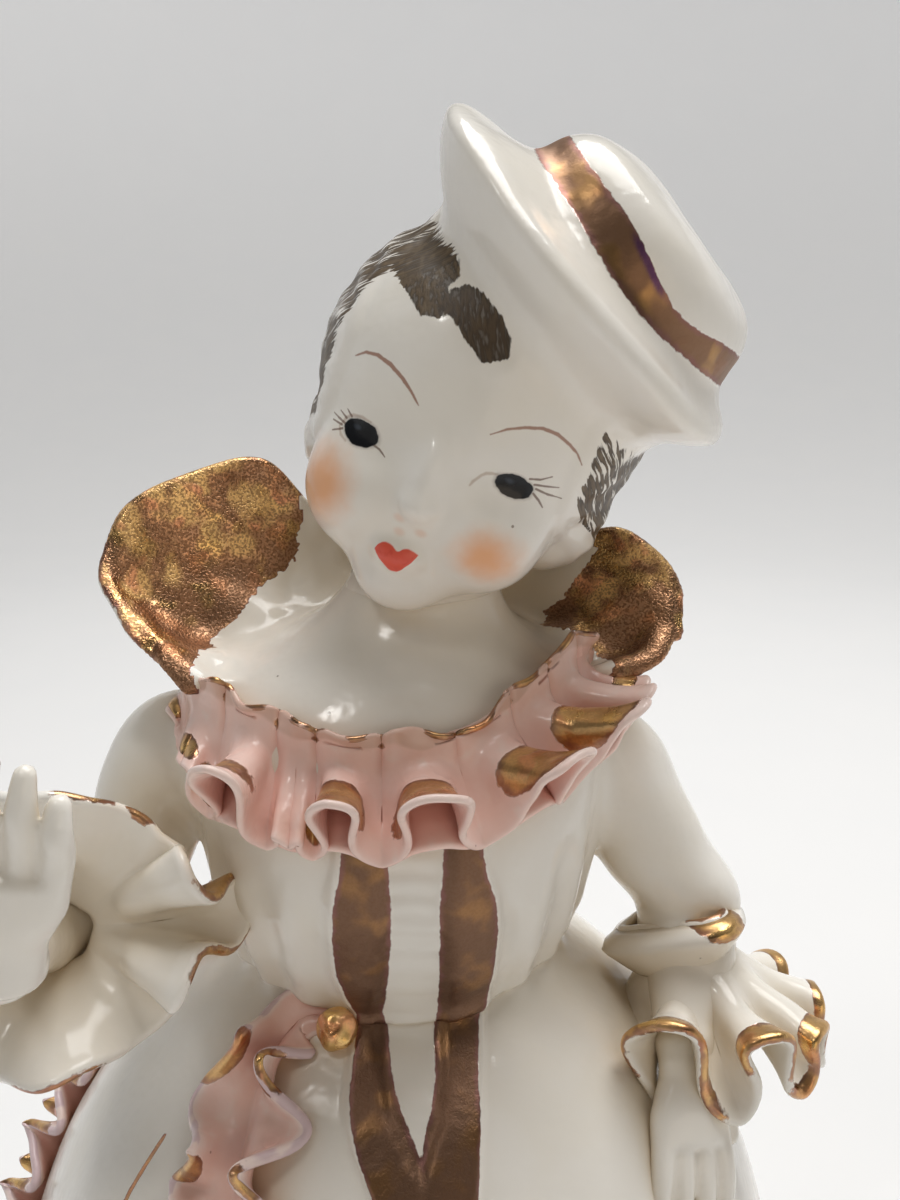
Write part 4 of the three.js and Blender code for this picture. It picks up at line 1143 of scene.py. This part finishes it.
def make_painted_head():
    paint = Paint("painted_head")
    local = paint.mapped(paint.place, tuple(HEAD_CENTRE), Matrix(HEAD_ROTATION.tolist()).to_euler(), (1, 1, 1))
    x, y, z = paint.parts(local)
    soft = paint.noise(0.5, 1) - 0.5
    colour, roughness, height = white_glaze(paint)
    colour = paint_face(paint, colour, soft, x, y, z)

    gold, hair, violet = paint.parts(Wire(paint, paint.attribute("paint").outputs["Vector"]))
    strands = paint.mapped(local, (0, 0, 0), (0, math.radians(-28), 0), (0.34, 0.6, 4.2))
    arc = x.math("ABSOLUTE").math("ARCTAN2", y * -1) * 13
    combed = paint.joined((z * 0.75 + arc * 0.66) * 2.8, (arc * 0.75 - z * 0.66) * 0.3, 0)
    behind = y.step(-9.5, -8.5)
    streak = paint.noise(1, 2, strands) * (1 - behind) + paint.noise(1, 2, combed) * behind
    brush = paint.noise(2.4, 1, strands)
    tone = paint.blend(streak.step(0.34, 0.64), (0.042, 0.024, 0.010), (0.115, 0.078, 0.042))
    tone = paint.blend(brush.step(0.52, 0.66) * 0.45, tone, (0.19, 0.135, 0.075))
    tone = paint.blend(violet.step(-1.2, 0.4) * 0.7, tone, (0.035, 0.018, 0.007))
    tone = paint.blend(hair.step(0.8, 0.0) * streak.step(0.62, 0.42) * 0.75, tone, (0.03, 0.02, 0.011))
    wash = streak.step(0.28, 0.48) * 0.12 + 0.86
    ragged = hair + (streak - 0.5) * (behind * 1.6 + 0.5) + soft * 0.15
    cover = ragged.step(-0.06, 0.10) * wash
    colour = paint.blend(cover, colour, tone)
    roughness = roughness + cover * 0.3
    height = height + cover * streak * 0.06

    colour, metal, roughness, height = gilt(paint, (colour, roughness, height), gold, 0.06, 0.85, 0.1)
    colour = paint.blend(violet.step(0.1, 0.9) * metal * 0.85, colour, (0.10, 0.045, 0.13))
    return paint.finish(colour, metal, roughness, height)


def make_glowing_floor():
    paint = Paint("glowing_floor_paper")
    fibre = paint.noise(40, 1)
    _, y, z = paint.parts(paint.place)
    ahead = y.step(-260, -800)
    colour = paint.blend(fibre, (0.80, 0.805, 0.815), (0.82, 0.82, 0.825))
    colour = paint.blend(ahead, colour, (0.63, 0.61, 0.57))
    # The paper glows as painted light, more up the wall and less in front, where its colour is also darker.
    paint.feed(paint.shader.inputs["Emission Color"], colour)
    paint.feed(paint.shader.inputs["Emission Strength"], (z.step(-150, 700) * 0.42 + 0.03) * (1 - ahead * 0.6))
    return paint.finish(colour, 0.0, 0.75, fibre * 0.02)


# --- The pieces ---
BODY_GRID = ((-54, -48, 60), (52, 24, 150), 0.4)  # low corner, high corner, step
HEAD_GRID = ((-18, -24, 134), (46, 26, 183), 0.3)
BASE_PROFILE = [(30, 0), (47.4, 0), (48.4, 0.25), (49, 1.0), (49, 2.6), (48.95, 3.9), (48.5, 4.8), (47.6, 5.4)]
BASE_LINE = 4.3
# The gold patches: their place along the edge, half their length and their depth.
NECK_GOLD = [(0.06, 2, 1.4), (0.17, 2, 1.4), (0.258, 4.4, 1.5), (0.412, 3.0, 2.3), (0.515, 3.5, 2.4),
             (0.645, 3.2, 2.6), (0.752, 2.8, 3.0), (0.94, 2, 1.4)]
SWAG_GOLD = [(SWAG_FIRST + (k + 0.06) / SWAG_WAVES, 2.0, 1.2) for k in range(17)]
CUFF_GOLD = [  # on the hem, on the heading
    ([(0.49, 3.2, 1.8), (0.02, 2.4, 1.0), (0.30, 2.0, 0.8), (0.73, 2.2, 0.8)], [(0.45, 2.5, 0.8)]),
    ([(0.078, 3.0, 1.6), (0.19, 1.8, 2.0), (0.285, 1.9, 1.9), (0.24, 1.0, 0.8), (0.385, 1.6, 1.1), (0.50, 3, 1.3),
      (0.63, 3, 1.3), (0.76, 3, 1.3), (0.89, 3, 1.3)], [(0.22, 2.6, 1.8), (0.62, 2, 1.2)])]


def make_floor():
    """A round sheet of paper that curves up all round, so that no horizon shows."""
    sides = 96
    profile = [(0.25, 0.0), (0.5, 0.0)]
    profile += [(0.6 + 0.9 * math.sin(a), 0.9 - 0.9 * math.cos(a)) for a in np.linspace(0, 1.4, 28)]
    angles = np.linspace(0, TAU, sides, endpoint=False)
    points = [(r * math.cos(a), r * math.sin(a), h) for r, h in profile for a in angles]
    faces = [tuple(range(sides))]
    for k in range(len(profile) - 1):
        near, far = k * sides, (k + 1) * sides
        faces += [(near + j, far + j, far + (j + 1) % sides, near + (j + 1) % sides) for j in range(sides)]
    mesh = bpy.data.meshes.new("floor")
    mesh.from_pydata(points, [], faces)
    mesh.shade_smooth()
    floor = bpy.data.objects.new("floor", mesh)
    bpy.context.scene.collection.objects.link(floor)
    mesh.materials.append(make_glowing_floor())


def make_torso(sides):
    """The bodice and neck, down to the turned-in edge of the basque."""
    turn = np.linspace(0, TAU, sides, endpoint=False)
    rings = [dress_point(turn, np.full(sides, z), proud, True)
             for z, proud in ((98.6, -2.6), (97.2, -1.6), (96.8, -0.5))]
    for z in np.concatenate([np.linspace(96.95, 126, 110), np.linspace(126.4, 149, 60)]):
        height = np.full(sides, z)
        lip = -0.35 * (1 - smoothstep(z, 96.8, 97.5))
        rings.append(dress_point(turn, height, front_relief(turn, height) + lip, True))
    return loft(rings)


def make_collar():
    share, up = np.meshgrid(np.linspace(0, 1, 300), np.linspace(0, 1, 60), indexing="ij")
    middle, normal = collar_sheet(share, up)
    half = lerp(1.0, 0.8, up)[..., None]
    over, under = middle + normal * half, middle - normal * half
    return loft(np.concatenate([over, under[:, ::-1]], 1)[::-1])


def build_body(torso, material):
    body = Field(*BODY_GRID)
    body.values = body.of_mesh(*torso)
    z = body.axes()[2][None, None, :]
    body.values = np.maximum(body.values + 0.25 * smoothstep(z, 135.2, 136.4), z - 138).astype(np.float32)
    for stations, seed in ((RIGHT_ARM, 41), (LEFT_ARM, 42)):
        body.join_mesh(loft(limb_rings(stations, 72, 90, (1, 0, 0.01), sleeve_folds(seed))), 3.0)
    for spec in HANDS:
        hand = Field(*BODY_GRID)
        for mesh in hand_meshes(*spec):
            hand.join_mesh(mesh, 0.3)
        body.join(hand.values, 1.2)
    body.join_mesh(make_collar(), 2.2)
    body.blur()
    points, quads = body.mesh()
    x, y, z = points.T
    turn = np.arctan2(x - column(MID_X, z), column(MID_Y, z) - y)
    bands = np.where(np.abs(x) < 16, np.maximum(*band_distance(turn, z + 0.6)), FAR_OUTSIDE)
    gold = np.maximum(bands, collar_gold_inside(points))
    add_mesh("bodice_sleeves_and_collar", points, [quads], material, gold=gold)


def build_head(torso, material):
    head = Field(*HEAD_GRID)
    x, y, z = np.meshgrid(*[a.astype(np.float32) for a in head.axes()], indexing="ij")
    local = to_head(np.stack([x, y, z], -1))
    head.values = (head_distance(local) - hair_relief(local)).astype(np.float32)
    head.join_mesh(hat_mesh(), 3.2)
    head.join(head.of_mesh(*torso), 1.5)
    head.values = np.maximum(head.values, 135.0 - z)
    head.blur()
    points, quads = head.mesh()
    hair, dark = hair_inside(to_head(points))
    band, streak = hat_band_inside(points)
    on_hat = head_distance(to_head(points)) - 0.6
    violet = np.where(on_hat > 0, streak, np.minimum(dark, 0) - 0.1)
    marks = np.stack([np.minimum(band, on_hat), np.minimum(hair, -on_hat), violet], -1)
    add_mesh("head_and_hat", points, [quads], material, paint=marks)


def build_skirt(material):
    turn = np.linspace(0, TAU, 600, endpoint=False)
    flat = np.stack([np.sin(turn), -0.94 * np.cos(turn), 0 * turn], -1)
    rings = [flat * r + (0, 0, h) for r, h in BASE_PROFILE]
    for z in np.concatenate([[5.7, 6.4], np.linspace(7.5, 66, 50), np.linspace(66.6, 99, 90)]):
        height = np.full(len(turn), z)
        rings.append(dress_point(turn, height, front_relief(turn, height)))
    points, quads, caps = loft(rings)
    x, y, z = points.T
    turn = np.arctan2(x, -y)
    gold = np.maximum(np.maximum(*band_distance(turn, z + 0.4)), 0.75 - np.abs(z - BASE_LINE))
    for (turn_a, a), (turn_b, b) in zip(SKIRT_STROKE, SKIRT_STROKE[1:]):
        share = np.clip((z - a) / (b - a), 0, 1)
        gap = np.hypot((turn - lerp(turn_a, turn_b, share)) * 35, np.minimum(0, a - z) + np.maximum(0, b - z))
        gold = np.maximum(gold, 5 * (0.28 * smoothstep(z, 56, 68) - gap))
    add_mesh("skirt_and_base", points, [quads, caps], material, gold=gold)


def build_neck_ruffle(material):
    points, faces, (s, t, side) = strip(neck_surface, 600, 34,
                                        lambda t: 0.6 + 0.5 * smoothstep(t, 0, 0.14) - 0.42 * t)
    face = side * 0.5 + 0.25
    from_heading, from_hem = t * NECK_WIDTH, (1 - t) * NECK_WIDTH
    uneven = 0.35 * wobble(points, 3, 71) * np.minimum(1, np.abs(t - 0.5))
    spots = patches(s, t, NECK_LENGTH, NECK_WIDTH, NECK_GOLD, 0.79)
    gold = np.minimum(spots, np.minimum(face, from_hem - 0.35))
    gold = np.maximum(gold, 1.6 * (0.06 + 1.3 * uneven - from_heading) - 0.2 * np.abs(side - 0.2))
    pleats = np.min([np.hypot((s - place) * NECK_LENGTH, (t - 0.10) * NECK_WIDTH) for place in NECK_PLEATS], axis=0)
    gold = np.maximum(gold, np.minimum(0.6 - pleats, face))
    creases = np.min([np.abs(s - place) for place in NECK_PLEATS], axis=0) * NECK_LENGTH
    gold = np.maximum(gold, np.minimum(0.13 - creases, 4.0 + 2 * uneven - from_heading))
    crest = np.clip(arches(s, *NECK_ARCHES)[0], 0, 1)
    rim = np.clip(1 - from_hem / 0.6 - 0.25 * wobble(points, 2.5, 73), 0, 1) * (0.2 + 0.45 * crest)
    rim -= np.clip(1.4 - from_heading - 0.6 * wobble(points, 5, 76), 0, 1)
    add_mesh("neck_ruffle", points, faces, material, gold=gold, rim=rim)
    points, faces, (s, t, side) = strip(neck_lining, 300, 14, lambda t: 1.5 - 0.5 * t)
    add_mesh("neck_ruffle_lining", points, faces, material, gold=np.full(len(points), -3.0), rim=0 * t)


def build_swag_ruffle(material):
    points, faces, (s, t, side) = strip(swag_surface, 620, 33, lambda t: 1.0)
    gold = np.maximum(*(patches(s, t, SWAG_LENGTH, SWAG_WIDTH, SWAG_GOLD, edge) for edge in (1.0, 0.0)))
    gold -= 0.15 + 0.4 * wobble(points, 8, 75)
    rim = np.clip(1 - np.minimum(t, 1 - t) * 10.8 / 0.9 - 0.25 * wobble(points, 2.5, 74), 0, 1)
    add_mesh("swag_ruffle", points, faces, material, gold=np.minimum(gold, side * 0.5 + 0.25), rim=rim)


def build_cuffs(material):
    for name, spec, (hem_gold, top_gold) in zip(("right_cuff", "left_cuff"), CUFFS, CUFF_GOLD):
        points, faces, (s, t, side) = strip(cuff_surface(spec), 420, 49, lambda t: 1.3 - 0.15 * t, closed=True)
        gold = np.maximum(patches(s, t, CUFF_HEM_LENGTH, CUFF_WIDTH, hem_gold),
                          patches(s, t, CUFF_TOP_LENGTH, CUFF_WIDTH, top_gold, 0.0))
        lip = -0.22 + 0.34 * wobble(points, 5, 72) - (1 - t) * CUFF_WIDTH - np.abs(side) * 0.3
        add_mesh(name, points, faces, material, gold=np.maximum(np.minimum(gold, side * 0.5 + 0.25), lip))


def build_bead(material):
    place = dress_point(np.array([SWAG_LINE[0][0]]), np.array([96.5]), 1.6)[0]
    angle = np.linspace(0, TAU, 48, endpoint=False)
    rings = [np.stack([math.sin(a) * np.cos(angle), math.sin(a) * np.sin(angle), -math.cos(a) + 0 * angle], -1)
             for a in np.linspace(0.08, math.pi - 0.08, 26)]
    points, quads, caps = loft([place + 2.0 * ring for ring in rings])
    points += 0.2 * wobble(points, 2.0, 5)[:, None] * unit(points - place)
    add_mesh("gilt_bead", points, [quads, caps], material, gold=np.full(len(points), 3.0))


make_camera()
make_world()
bpy.context.scene.view_settings.view_transform = "Standard"
soft_light("overhead", (0.17, 0.19, 0.93), (0.0, 0.0, 0), (0.72, 0.6), 8.9, (1, 0.99, 0.97))
soft_light("lamp", (-0.25, -0.20, 0.62), (0, 0, 0.14), (0.06, 0.08), 0.3, (1, 0.98, 0.95))
soft_light("room", (0.25, -0.75, 0.22), (0, 0, 0.12), (0.5, 0.4), 0.5, (1, 0.80, 0.58))
make_floor()

white = make_gilt_porcelain("white_glaze", white_glaze, graded=True)
bright = make_gilt_porcelain("white_glaze_bright_gold", white_glaze, golden=0.55)
# The bead has painted highlights in patches all over.
bead_gold = make_gilt_porcelain("bead_gold", white_glaze, golden=1.0, painted_shine=1.0)
pink = make_gilt_porcelain("pink_glaze", pink_glaze, golden=0.5)
painted_head = make_painted_head()

torso = make_torso(420)
build_body(torso, white)
build_head(torso, painted_head)
build_skirt(white)
build_neck_ruffle(pink)
build_swag_ruffle(pink)
build_cuffs(bright)
build_bead(bead_gold)
